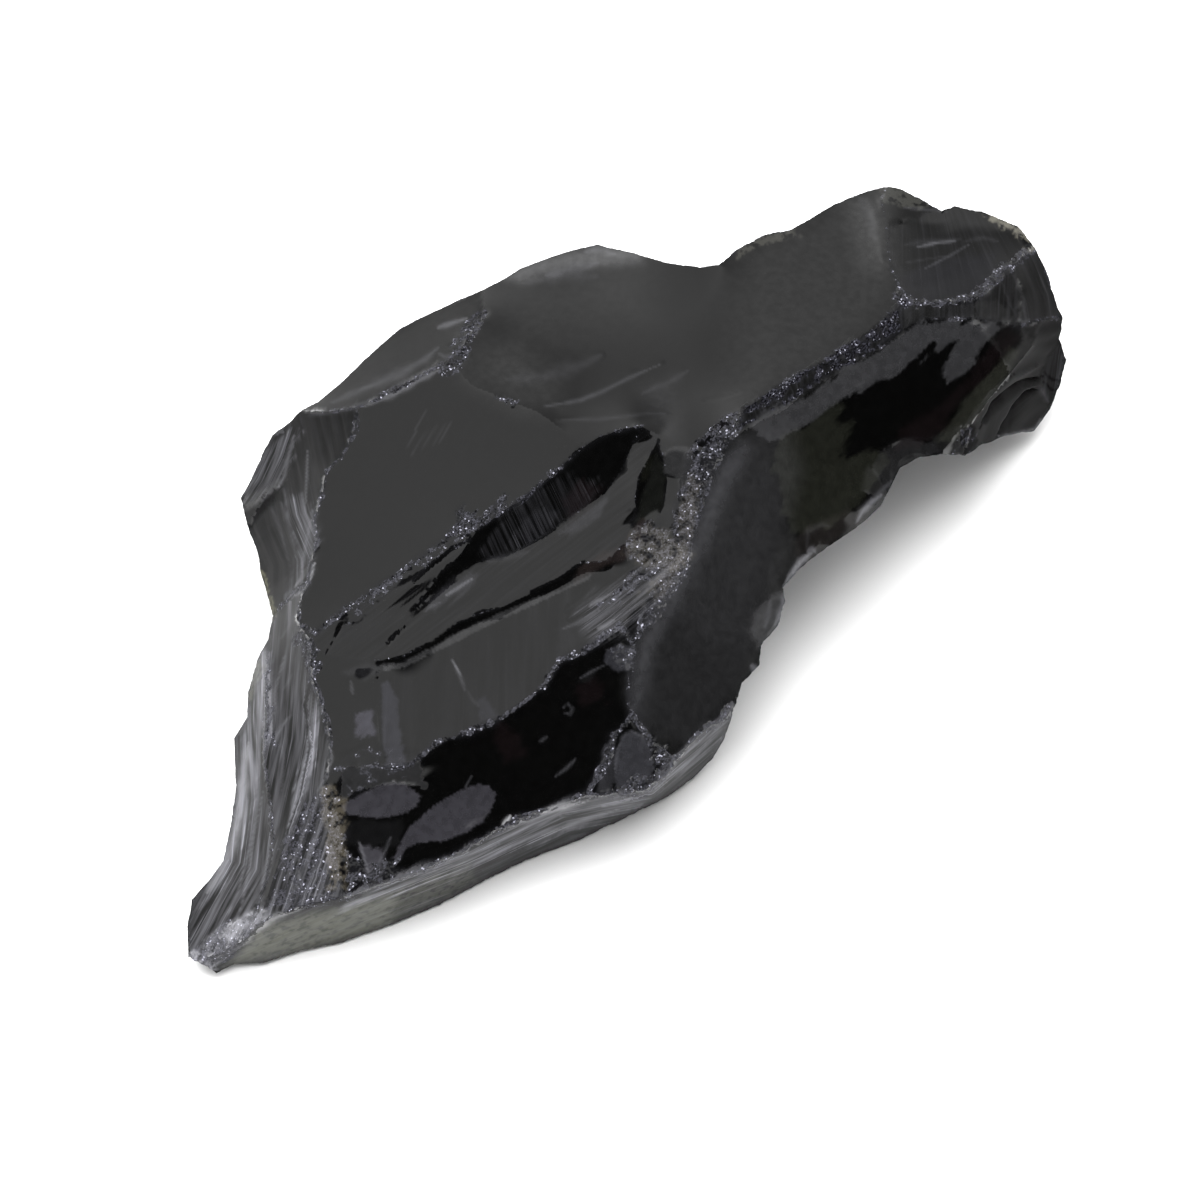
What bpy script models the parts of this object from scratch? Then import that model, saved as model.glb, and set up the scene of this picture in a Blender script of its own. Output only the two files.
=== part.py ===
"""Raw black onyx: one broken stone with shell-shaped breaks, a slot and crushed ridges.

The ridges of the stone are drawn on a slanted drawing plane: the upper side as one sheet and the
underside as another, both with the same outline.  A point is (across, down, height): across and
down count drawing squares, height is in millimetres above the table.  A point without a height
takes it from the same point of another ridge, or is left to the surface around it.  Between the
ridges each break is a stretched skin, pressed in (hollow) or out (bulge) by a few tenths.
"""
import math

import bmesh
import bpy
import numpy as np
from mathutils import Vector
from mathutils.geometry import delaunay_2d_cdt

# Driving dimensions
SQUARE = 0.075            # mm, one drawing square
DRAWING_CENTRE = 600.0    # squares, where across and down are zero millimetres
SLANT = math.radians(50)  # the drawing is seen from this high above the table
TURN = math.radians(-44)  # brings the long way of the stone onto X
TOP_SPACING = 1.05        # mm between points of the upper side
UNDER_SPACING = 1.75      # mm between points of the underside
LEAST_AREA = 1e-5         # mm2, thinner triangles along the outline are left out
SHARP_ANGLE = math.radians(24)
STONE_COLOUR = (0.0060, 0.0058, 0.0062, 1.0)
STONE_ROUGHNESS = 0.09

# Outline, clockwise from the thin tip at the lower left
OUTLINE = [
    (190, 955, 2.6), (189, 925, 2.4), (193, 899, 2.2), (212, 877, 2.0), (224, 860, 1.8),
    (231, 825, 1.6), (236, 790, 1.6), (234, 738, 1.8), (247, 717, 2.2), (248, 691, 2.8),
    (256, 661, 4.0), (268, 639, 6.0), (272, 616, 7.4), (266, 592, 8.2), (260, 572, 8.8),
    (257, 552, 9.2), (247, 528, 10.0), (240, 498, 11.4), (250, 480, 12.8), (262, 455, 14.4),
    (272, 435, 15.6), (289, 423, 16.8), (301, 411, 18.6), (318, 402, 17.8), (340, 384, 18.8),
    (369, 355, 19.4), (400, 328, 20.0), (431, 312, 20.4), (472, 294, 21.0), (500, 281, 21.2),
    (520, 268, 21.4), (567, 251, 21.4), (596, 244, 21.2), (635, 253, 21.8), (668, 263, 22.4),
    (700, 267, 22.7), (719, 264, 22.6), (738, 248, 22.1), (765, 233, 21.7), (790, 229, 21.5),
    (810, 218, 21.2), (833, 204, 20.8), (863, 191, 20.2), (888, 184, 19.6), (902, 187, 19.2),
    (926, 200, 19.1), (943, 209, 19.0), (956, 204, 18.7), (988, 211, 18.0), (1020, 225, 16.9),
    (1036, 244, 15.9), (1048, 270, 15.6), (1060, 307, 13.6), (1065, 316, 13.0),
    (1062, 338, 10.6), (1069, 359, 8.0), (1063, 384, 5.2), (1053, 408, 2.8), (1037, 430, 2.0),
    (1008, 435, 5.4), (980, 446, 9.4), (965, 455, 11.4), (943, 454, 13.2), (920, 457, 14.0),
    (900, 468, 14.4), (887, 495, 14.8), (880, 507, 14.6), (858, 527, 14.6), (832, 544, 14.4),
    (811, 559, 14.2), (799, 569, 14.0), (783, 587, 13.6), (785, 601, 13.0), (777, 627, 12.2),
    (761, 646, 12.0), (759, 665, 11.4), (742, 683, 10.8), (734, 710, 9.4), (724, 740, 4.4),
    (712, 759, 2.0), (692, 779, 0.9), (665, 798, 0.6), (638, 811, 0.5), (583, 838, 0.4),
    (526, 860, 0.4), (481, 882, 0.4), (440, 904, 0.4), (394, 923, 0.4), (344, 941, 0.4),
    (300, 950, 0.5), (265, 962, 0.6), (236, 963, 0.8), (218, 972, 1.0), (203, 962, 2.0),
]

# Ridges of the upper side
TOP_RIDGES = {
    "shoulder crest": [
        (301, 411), (330, 412, 20.2), (358, 408, 21.4), (378, 398, 22.0), (405, 385, 22.6),
        (430, 370, 23.0), (447, 361, 23.3), (463, 348, 23.5), (468, 333, 23.4), (485, 312)],
    "west crest": [
        (358, 408), (356, 432, 21.0), (344, 454, 20.6), (328, 470, 20.2), (322, 497, 19.7),
        (314, 520, 19.4), (318, 540, 19.2), (312, 560, 18.5), (309, 582, 18.0),
        (300, 603, 17.0), (299, 625, 16.4), (313, 642, 16.6), (313, 675, 15.6),
        (324, 705, 14.8), (332, 740, 13.9), (330, 770, 13.1), (325, 788, 12.3),
        (332, 830, 11.0), (341, 868, 9.8), (345, 896)],
    "sliver": [(289, 423), (284, 456, 15.4), (280, 485, 14.2), (262, 498, 12.6), (247, 528)],
    "notch": [(272, 616), (290, 597, 13.2), (309, 582)],
    "wall ridge": [
        (268, 639), (266, 665, 9.4), (267, 712, 9.6), (265, 760, 9.2), (270, 800, 8.6),
        (275, 838, 8.0), (266, 885, 6.6), (250, 935)],
    "wall fold": [
        (313, 675), (306, 705, 12.6), (312, 745, 11.8), (302, 795, 10.6), (286, 842, 9.2),
        (272, 885, 7.6), (262, 922)],
    "front crest": [
        (203, 962), (218, 952, 3.4), (235, 946, 4.4), (250, 935, 5.6), (262, 922, 6.8),
        (276, 914, 7.6), (315, 902, 8.6), (345, 896, 8.7), (385, 882, 9.3), (425, 869, 9.7),
        (462, 850, 10.1), (497, 830, 10.4), (535, 813, 10.7), (560, 804, 11.0), (585, 795, 11.2),
        (624, 793, 10.6), (649, 787, 10.2), (665, 776, 10.2), (676, 760, 10.4), (690, 744, 10.3),
        (705, 729, 10.0), (719, 722, 9.6), (734, 710)],
    "facet fold": [
        (447, 361), (472, 388, 23.3), (508, 402, 23.4), (540, 415, 23.3), (582, 448)],
    "slot crest": [
        (299, 625), (318, 632, 17.0), (338, 615, 17.9), (365, 597, 18.6), (398, 575, 19.4),
        (425, 555, 20.1), (455, 533, 20.8), (478, 528, 20.9), (500, 513, 21.4),
        (525, 499, 21.8), (548, 478, 22.1), (570, 459, 22.45), (582, 448, 22.8),
        (600, 437, 23.2), (622, 430, 23.5), (642, 427, 23.7)],
    "slot mouth": [
        (478, 528), (462, 553, 20.3), (440, 576, 19.6), (412, 612, 18.38), (397, 632, 18.0),
        (383, 648)],
    "slot root": [
        (642, 427), (634, 442, 22.9), (622, 470, 21.3), (605, 494, 20.4), (578, 512, 20.05),
        (556, 529, 19.75), (537, 542, 19.35), (510, 556, 19.2), (478, 562, 19.35),
        (455, 577, 19.3), (430, 597, 18.72), (412, 612)],
    "slot end": [
        (642, 427), (657, 437, 23.2), (664, 460, 22.3), (667, 482, 21.1), (664, 506, 20.2),
        (655, 524, 19.9), (640, 524, 20.0), (634, 500, 21.2), (638, 478, 21.9),
        (648, 458, 22.8), (657, 437)],
    "slot lip": [(664, 506), (677, 503)],
    "step edge": [
        (640, 524), (622, 545, 19.6), (608, 561, 19.15), (580, 563, 19.1), (560, 578, 18.7),
        (530, 592, 18.35), (500, 608, 18.3), (480, 613, 18.15), (458, 622, 18.15),
        (430, 642, 17.8), (405, 655, 17.5), (390, 658, 17.3), (360, 662, 16.9), (330, 656)],
    "step foot": [
        (622, 545), (610, 570, 18.7), (582, 572, 18.7), (562, 586, 18.3), (532, 601, 17.95),
        (502, 617, 17.8), (482, 622, 17.7), (460, 631, 17.7), (432, 651, 17.4),
        (406, 661, 17.2), (384, 665, 17.0), (358, 669, 16.75), (330, 656, 16.6), (313, 642)],
    "band left": [
        (742, 411), (720, 421, 23.6), (700, 440, 22.9), (690, 456, 22.4), (682, 477, 21.6),
        (677, 503, 20.8), (674, 530, 19.9), (674, 552, 19.2), (662, 577, 18.6),
        (648, 600, 18.2), (640, 620, 17.5), (634, 643)],
    "band right": [
        (735, 430), (720, 450, 22.2), (712, 470, 21.4), (705, 490, 20.6), (697, 510, 20.3),
        (691, 532, 19.6), (689, 552, 19.0), (682, 571, 18.4), (668, 592, 18.0),
        (654, 612, 17.6), (643, 630, 17.1), (634, 643, 16.6), (629, 670, 15.9),
        (628, 692, 15.0), (632, 716, 13.9), (645, 731, 12.8), (660, 748, 11.7), (676, 760)],
    "main crest": [
        (735, 430, 22.6), (742, 411, 23.7), (760, 400, 23.5), (780, 390, 23.2),
        (800, 376, 22.8), (820, 367, 22.4), (842, 352, 22.0), (862, 342, 21.6),
        (880, 325, 21.4), (895, 313, 21.1), (905, 300, 20.9), (920, 302, 20.6),
        (945, 302, 20.0), (967, 298, 19.5), (985, 290, 19.1), (1000, 275, 18.6),
        (1014, 264, 17.7), (1036, 244)],
    "crest foot": [
        (735, 430), (752, 420, 22.4), (772, 410, 22.1), (792, 399, 21.8), (806, 387, 21.5),
        (826, 375, 21.2), (846, 362, 20.8), (866, 354, 20.4), (882, 346, 20.3),
        (902, 331, 20.2), (922, 320, 19.9), (947, 317, 19.3), (975, 319, 18.5),
        (1000, 321, 17.4), (1020, 326, 15.8), (1040, 320, 14.7), (1065, 316)],
    "shell border": [
        (888, 184), (882, 200, 20.4), (887, 221, 20.5), (888, 240, 20.6), (893, 270, 20.8),
        (905, 300)],
    "shell top": [(887, 221), (905, 222, 19.5), (922, 212, 19.2), (943, 209)],
    "cheek fold": [(1014, 264), (1024, 290, 15.9), (1020, 326)],
    "flank fold": [
        (752, 420), (800, 418, 20.6), (840, 398, 19.9), (885, 374, 19.1), (925, 352, 18.6),
        (960, 337, 17.9), (1000, 321)],
    "end fold": [
        (965, 455), (972, 425, 12.8), (988, 398, 13.8), (1012, 372, 13.8), (1034, 345, 13.8),
        (1040, 320)],
    "end scar": [(1053, 408), (1042, 390, 6.0), (1044, 366, 8.2), (1062, 338)],
    "edge scar 1": [
        (943, 454), (928, 439, 14.4), (905, 436, 15.4), (884, 446, 16.0), (874, 466, 15.7),
        (887, 495)],
    "edge scar 2": [(880, 507), (866, 492, 15.4), (848, 500, 15.6), (845, 518, 15.1),
                    (858, 527)],
    "edge scar 3": [(832, 544), (826, 522, 15.4), (810, 527, 15.6), (799, 543, 15.2),
                    (799, 569)],
    "edge scar 4": [(785, 601), (769, 596, 13.8), (757, 613, 13.4), (754, 634, 12.7),
                    (761, 646)],
    "patch top": [
        (634, 643), (620, 624, 17.5), (605, 635, 17.5), (585, 650, 17.3), (560, 660, 17.1),
        (545, 685, 16.3), (520, 705, 15.9), (500, 718, 15.6), (465, 732, 15.3),
        (437, 742, 15.3), (420, 757, 14.95), (408, 767, 14.7), (388, 766, 14.6),
        (362, 764, 14.2), (330, 770)],
    "patch side": [
        (632, 716), (614, 735, 13.2), (609, 757, 12.4), (598, 774, 11.8), (585, 795)],
    "apron fold": [(384, 665), (378, 702, 16.05), (381, 738, 15.3), (388, 766)],
    "scar A": [
        (345, 800, 12.1), (362, 784, 13.0), (392, 780, 13.5), (416, 786, 13.0), (420, 802, 12.3),
        (400, 815, 11.7), (370, 820, 11.4), (345, 800)],
    "scar B": [
        (402, 842, 10.7), (412, 826, 11.3), (442, 803, 12.1), (472, 786, 12.5),
        (492, 789, 12.2), (492, 808, 11.3), (470, 828, 10.9), (434, 842, 10.5), (402, 842)],
}

# Ridges of the underside; the resting face is where the height is 0
UNDER_RIDGES = {
    "resting face": [
        (262, 940, 0), (345, 918, 0), (440, 884, 0), (520, 844, 0), (600, 810, 0),
        (668, 776, 0), (706, 712, 0), (738, 640, 0), (782, 560, 0), (815, 492, 0),
        (796, 446, 0), (716, 432, 0), (640, 452, 0), (560, 470, 0), (470, 500, 0),
        (400, 540, 0), (334, 604, 0), (292, 682, 0), (270, 762, 0), (250, 862, 0),
        (262, 940, 0)],
    "belly": [
        (240, 498), (300, 500, 8.6), (350, 470, 9.4), (432, 420, 10.2), (492, 392, 9.6),
        (545, 368, 9.0), (600, 350, 7.8), (650, 338, 8.2), (742, 338, 9.4), (790, 318, 8.8),
        (840, 300, 8.0), (915, 285, 9.2), (960, 292, 8.4), (1010, 305, 8.0), (1060, 307)],
    "keel": [(815, 492), (880, 446, 1.6), (950, 412, 1.8), (1004, 402, 1.4), (1037, 430)],
    "west rib": [(340, 384), (350, 470), (334, 604)],
    "back rib 1": [(472, 294), (480, 340, 14.6), (492, 392), (470, 500)],
    "back rib 2": [(635, 253), (655, 292, 14.8), (650, 338), (640, 452)],
    "back rib 3": [(738, 248), (735, 295, 15.4), (742, 338), (716, 432)],
    "neck rib": [(863, 191), (852, 245, 13.8), (840, 300), (820, 380, 3.4), (796, 446)],
    "end rib": [(988, 211), (970, 250, 12.4), (960, 292), (965, 350, 4.2), (950, 412)],
    "flank under": [(832, 544), (838, 520, 8.2), (836, 500, 3.6), (815, 492)],
    "flank under 2": [(943, 454), (918, 444, 6.0), (880, 446)],
    "side under": [(777, 627), (756, 622, 6.0), (738, 640)],
    "west under": [(257, 552), (285, 590, 5.4), (334, 604)],
}

# Hollows (+) and bulges (-) between the ridges: a point of the break and its depth in mm
TOP_HOLLOWS = [
    (440, 450, 0.30), (700, 330, 0.55), (400, 350, 0.35), (300, 460, 0.70), (275, 540, 0.90),
    (285, 632, 0.30), (250, 790, -0.20), (290, 740, 0.40), (310, 860, 0.20), (480, 870, 0.50),
    (600, 480, 0.15), (560, 555, 0.30), (430, 620, 0.10), (500, 650, 0.20), (350, 710, 0.15),
    (530, 760, 0.20), (640, 760, 0.25), (720, 600, -0.55), (900, 420, 0.45), (945, 332, 0.25),
    (950, 310, 0.15), (950, 270, 0.70), (1035, 290, 0.35), (1000, 420, 0.50), (1052, 370, 0.30),
    (910, 455, 0.30), (862, 508, 0.20), (815, 545, 0.20), (770, 620, 0.20), (652, 495, 0.08),
    (385, 800, 0.12), (450, 815, 0.12),
]
UNDER_HOLLOWS = [
    (560, 320, 0.8), (430, 370, 0.7), (690, 300, 0.6), (790, 280, 0.7), (900, 240, 0.6),
    (1010, 260, 0.5), (300, 450, 0.5), (400, 480, 0.9), (560, 420, 1.0), (680, 390, 0.9),
    (780, 380, 0.8), (900, 350, 1.0), (1010, 360, 0.6), (860, 480, 0.5), (760, 590, 0.5),
]


def drawn(point):
    """Millimetres across and up the drawing of a point given in drawing squares."""
    return ((point[0] - DRAWING_CENTRE) * SQUARE, (DRAWING_CENTRE - point[1]) * SQUARE)


def known_heights(*ridge_groups):
    """Heights given anywhere on the ridges, by the point's place in the drawing."""
    heights = {}
    for ridge in ridge_groups:
        heights.update({point[:2]: point[2] for point in ridge if len(point) == 3})
    return heights


def divided(ridge, heights, spacing):
    """Ridge as (x, y, height or NaN) rows in mm with no step longer than the spacing."""
    rows = [drawn(ridge[0]) + (heights.get(ridge[0][:2], math.nan),)]
    for start, end in zip(ridge, ridge[1:]):
        a = np.array(drawn(start) + (heights.get(start[:2], math.nan),))
        b = np.array(drawn(end) + (heights.get(end[:2], math.nan),))
        steps = max(1, round(math.dist(a[:2], b[:2]) / spacing))
        rows += [tuple(a + (b - a) * i / steps) for i in range(1, steps)] + [tuple(b)]
    return rows


def inside(points, loop):
    """Which points lie inside a closed loop, by counting crossings."""
    x, y = points[:, 0:1], points[:, 1:2]
    x0, y0 = loop[:, 0], loop[:, 1]
    x1, y1 = np.roll(x0, -1), np.roll(y0, -1)
    spans = (y0 > y) != (y1 > y)
    rise = np.where(y1 == y0, 1.0, y1 - y0)
    return (spans & (x < x0 + (y - y0) * (x1 - x0) / rise)).sum(axis=1) % 2 == 1


def scattered(loop, lines, spacing):
    """Points of a triangular lattice inside the loop that keep clear of the ridge lines."""
    low, high = loop.min(axis=0), loop.max(axis=0)
    rows = np.arange(low[1], high[1], spacing * math.sqrt(0.75))
    columns = np.arange(low[0], high[0], spacing)
    x, y = np.meshgrid(columns, rows)
    x = x + 0.5 * spacing * (np.arange(len(rows)) % 2)[:, None]
    points = np.stack([x.ravel(), y.ravel()], axis=1)
    points = points[inside(points, loop)]
    gaps = np.linalg.norm(points[:, None] - lines[None], axis=2).min(axis=1)
    return points[gaps > 0.62 * spacing]


def surface(rows, triangles):
    """Area of every triangle in the drawing."""
    a, b, c = (rows[triangles[:, i], :2] for i in range(3))
    return 0.5 * np.abs(np.cross(b - a, c - a))


def sheet(ridges, spacing, border, border_heights):
    """Flat triangle mesh of one side: points, heights (NaN where free), triangles, walls."""
    heights = dict(border_heights)
    heights.update(known_heights(*ridges.values()))
    index = {(round(x, 4), round(y, 4)): i for i, (x, y, _) in enumerate(border)}
    rows = list(border)
    edges = [(i, (i + 1) % len(border)) for i in range(len(border))]
    for ridge in ridges.values():
        keys = []
        for row in divided(ridge, heights, spacing):
            key = (round(row[0], 4), round(row[1], 4))
            if key not in index:
                index[key] = len(rows)
                rows.append(row)
            keys.append(index[key])
        edges += list(zip(keys, keys[1:]))
    loop = np.array(border)[:, :2]
    filling = scattered(loop, np.array(rows)[:, :2], spacing)
    rows += [(x, y, math.nan) for x, y in filling]
    flat = [Vector(row[:2]) for row in rows]
    places, _, triangles, origins = delaunay_2d_cdt(flat, edges, [], 0, 1e-6, True)[:4]
    if any(len(origin) != 1 for origin in origins):
        raise RuntimeError("two ridges cross or touch away from a shared point")
    if len(places) != len(rows):
        raise RuntimeError("a point of the drawing was lost")
    rows = np.array(rows)
    triangles = np.array([origin[0] for origin in origins])[np.array(triangles)]
    kept = inside(rows[triangles][:, :, :2].mean(axis=1), loop)
    kept &= surface(rows, triangles) > LEAST_AREA
    return rows, triangles[kept], {tuple(sorted(edge)) for edge in edges}


def breaks(rows, triangles, walls, hollows):
    """Pressure on every triangle: each hollow fills the break around its point up to the ridges."""
    beside = {}
    for t, (a, b, c) in enumerate(triangles):
        for edge in ((a, b), (b, c), (c, a)):
            beside.setdefault(tuple(sorted(edge)), []).append(t)
    near = [[] for _ in triangles]
    for edge, pair in beside.items():
        if edge not in walls and len(pair) == 2:
            near[pair[0]].append(pair[1])
            near[pair[1]].append(pair[0])
    areas = surface(rows, triangles)
    middles = rows[triangles][:, :, :2].mean(axis=1)
    pressure = np.zeros(len(triangles))
    for across, down, depth in hollows:
        seed = int(np.argmin(np.linalg.norm(middles - drawn((across, down)), axis=1)))
        reached, waiting = {seed}, [seed]
        while waiting:
            fresh = [t for t in near[waiting.pop()] if t not in reached]
            reached.update(fresh)
            waiting += fresh
        members = sorted(reached)
        pressure[members] = 4 * math.pi * depth / areas[members].sum()
    return pressure, areas


def stretched(rows, triangles, pressure, areas):
    """Heights of the free points: a skin held by the ridges and pressed between them."""
    count = len(rows)
    stiffness = np.zeros((count, count))
    load = np.zeros(count)
    for corner in range(3):
        i, j, k = (triangles[:, (corner + step) % 3] for step in range(3))
        to_i, to_j = rows[i, :2] - rows[k, :2], rows[j, :2] - rows[k, :2]
        weight = (to_i * to_j).sum(axis=1) / (4 * areas)
        np.add.at(stiffness, (i, j), -weight)
        np.add.at(stiffness, (j, i), -weight)
        np.add.at(stiffness, (i, i), weight)
        np.add.at(stiffness, (j, j), weight)
        np.add.at(load, i, -pressure * areas / 3)
    free = np.isnan(rows[:, 2])
    heights = np.where(free, 0.0, rows[:, 2])
    right = load[free] - stiffness[np.ix_(free, ~free)] @ heights[~free]
    heights[free] = np.linalg.solve(stiffness[np.ix_(free, free)], right)
    return heights


def stood_up(rows, heights):
    """Stone coordinates in metres of drawing points with their heights above the table."""
    depth = (rows[:, 1] - heights * math.cos(SLANT)) / math.sin(SLANT)
    x = rows[:, 0] * math.cos(TURN) - depth * math.sin(TURN)
    y = rows[:, 0] * math.sin(TURN) + depth * math.cos(TURN)
    return np.stack([x, y, heights], axis=1) / 1000


def turned_to(triangles, rows, anticlockwise):
    """Triangles wound the wanted way as seen in the drawing."""
    a, b, c = (rows[triangles[:, i], :2] for i in range(3))
    area = (b[:, 0] - a[:, 0]) * (c[:, 1] - a[:, 1]) - (b[:, 1] - a[:, 1]) * (c[:, 0] - a[:, 0])
    wrong = (area > 0) != anticlockwise
    triangles = triangles.copy()
    triangles[wrong] = triangles[wrong][:, ::-1]
    return triangles


def stone_mesh():
    """Points and triangles of the whole stone, both sheets joined along the outline."""
    closed = OUTLINE + OUTLINE[:1]
    border_heights = known_heights(OUTLINE)
    border = divided(closed, border_heights, TOP_SPACING)[:-1]
    points, faces = [], []
    sides = ((TOP_RIDGES, TOP_HOLLOWS, TOP_SPACING, True),
             (UNDER_RIDGES, UNDER_HOLLOWS, UNDER_SPACING, False))
    for ridges, hollows, spacing, upper in sides:
        rows, triangles, walls = sheet(ridges, spacing, border, border_heights)
        pressure, areas = breaks(rows, triangles, walls, hollows)
        heights = stretched(rows, triangles, pressure, areas)
        if not upper:
            heights = np.maximum(np.round(heights, 6), 0.0)
        placed = stood_up(rows, heights)
        triangles = turned_to(triangles, rows, upper)
        shift = 0 if upper else len(points[0]) - len(border)
        faces.append(np.where(triangles < len(border), triangles, triangles + shift))
        points.append(placed if upper else placed[len(border):])
    points = np.concatenate(points)
    points[:, :2] -= (points[:, :2].min(axis=0) + points[:, :2].max(axis=0)) / 2
    return points, np.concatenate(faces)


def stone_material():
    """Glassy black stone."""
    material = bpy.data.materials.new("onyx_stone_material")
    material.use_nodes = True
    shader = material.node_tree.nodes["Principled BSDF"]
    shader.inputs["Base Color"].default_value = STONE_COLOUR
    shader.inputs["Roughness"].default_value = STONE_ROUGHNESS
    shader.inputs["Metallic"].default_value = 0.0
    return material


def build_stone():
    """The stone as one object with crisp ridges."""
    points, faces = stone_mesh()
    mesh = bpy.data.meshes.new("onyx_stone")
    mesh.from_pydata(points.tolist(), [], faces.tolist())
    shaped = bmesh.new()
    shaped.from_mesh(mesh)
    bmesh.ops.recalc_face_normals(shaped, faces=shaped.faces)
    shaped.to_mesh(mesh)
    shaped.free()
    mesh.shade_smooth()
    mesh.set_sharp_from_angle(angle=SHARP_ANGLE)
    mesh.materials.append(stone_material())
    stone = bpy.data.objects.new("onyx_stone", mesh)
    bpy.context.scene.collection.objects.link(stone)


def main():
    for old in list(bpy.data.objects):
        bpy.data.objects.remove(old, do_unlink=True)
    build_stone()


main()
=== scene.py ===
"""Raw black onyx: the dressed stone, its table and its soft studio light."""

import math

import bpy
import numpy as np
from mathutils import Matrix, Vector
from mathutils.geometry import delaunay_2d_cdt


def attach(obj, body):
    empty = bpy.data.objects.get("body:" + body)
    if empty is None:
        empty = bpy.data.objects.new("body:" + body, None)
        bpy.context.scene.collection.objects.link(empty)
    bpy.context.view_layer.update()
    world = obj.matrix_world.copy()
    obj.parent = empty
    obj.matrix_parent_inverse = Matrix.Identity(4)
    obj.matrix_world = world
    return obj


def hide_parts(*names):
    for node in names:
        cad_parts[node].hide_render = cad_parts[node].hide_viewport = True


bl_info = {
    "name": "Raw Black Onyx",
    "version": (1, 0, 0),
    "blender": (4, 5, 0),
    "location": "View3D > Sidebar > Onyx",
    "description": "Builds a raw piece of black onyx, its table and its studio light",
    "category": "Object",
}

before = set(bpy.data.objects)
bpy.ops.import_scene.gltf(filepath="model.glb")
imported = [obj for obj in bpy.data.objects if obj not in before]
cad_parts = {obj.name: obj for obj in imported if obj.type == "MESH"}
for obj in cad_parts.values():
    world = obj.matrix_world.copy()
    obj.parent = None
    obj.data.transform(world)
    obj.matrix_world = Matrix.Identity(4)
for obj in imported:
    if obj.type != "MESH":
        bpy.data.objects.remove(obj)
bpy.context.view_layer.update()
STONE_NODE = "onyx_stone"

# The drawing that the stone is worked out on
SQUARE = 0.075            # mm, one drawing square
DRAWING_CENTRE = 600.0    # squares, where across and down are zero millimetres
SLANT = math.radians(50)  # the drawing is seen from this high above the table
TURN = math.radians(-44)  # the long way of the stone lies on X
LEAST_AREA = 1e-6         # mm2, thinner triangles along the outline are left out
DRAWING_PLACE = (4.656, 1.323, 0.0)  # mm, where the drawing's centre falls on the table

# Outline, clockwise from the thin tip at the lower left
OUTLINE = [
    (190, 955, 2.6), (189, 925, 2.4), (193, 899, 2.2), (212, 877, 2.0), (224, 860, 1.8),
    (231, 825, 1.6), (236, 790, 1.6), (234, 738, 1.8), (247, 717, 2.2), (248, 691, 2.8),
    (256, 661, 4.0), (268, 639, 6.0), (272, 616, 7.4), (266, 592, 8.2), (260, 572, 8.8),
    (257, 552, 9.2), (247, 528, 10.0), (240, 498, 11.4), (250, 480, 12.8), (262, 455, 14.4),
    (272, 435, 15.6), (289, 423, 16.8), (301, 411, 18.6), (318, 402, 17.8), (340, 384, 18.8),
    (369, 355, 19.4), (400, 328, 20.0), (431, 312, 20.4), (472, 294, 21.0), (500, 281, 21.2),
    (520, 268, 21.4), (567, 251, 21.4), (596, 244, 21.2), (635, 253, 21.8), (668, 263, 22.4),
    (700, 267, 22.7), (719, 264, 22.6), (738, 248, 22.1), (765, 233, 21.7), (790, 229, 21.5),
    (810, 218, 21.2), (833, 204, 20.8), (863, 191, 20.2), (888, 184, 19.6), (902, 187, 19.2),
    (926, 200, 19.1), (943, 209, 19.0), (956, 204, 18.7), (988, 211, 18.0), (1020, 225, 16.9),
    (1036, 244, 15.9), (1048, 270, 15.6), (1060, 307, 13.6), (1065, 316, 13.0),
    (1062, 338, 10.6), (1069, 359, 8.0), (1063, 384, 5.2), (1053, 408, 2.8), (1037, 430, 2.0),
    (1008, 435, 5.4), (980, 446, 9.4), (965, 455, 11.4), (943, 454, 13.2), (920, 457, 14.0),
    (900, 468, 14.4), (887, 495, 14.8), (880, 507, 14.6), (858, 527, 14.6), (832, 544, 14.4),
    (811, 559, 14.2), (799, 569, 14.0), (783, 587, 13.6), (785, 601, 13.0), (777, 627, 12.2),
    (761, 646, 12.0), (759, 665, 11.4), (742, 683, 10.8), (734, 710, 9.4), (724, 740, 4.4),
    (712, 759, 2.0), (692, 779, 0.9), (665, 798, 0.6), (638, 811, 0.5), (583, 838, 0.4),
    (526, 860, 0.4), (481, 882, 0.4), (440, 904, 0.4), (394, 923, 0.4), (344, 941, 0.4),
    (300, 950, 0.5), (265, 962, 0.6), (236, 963, 0.8), (218, 972, 1.0), (203, 962, 2.0),
]

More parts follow.
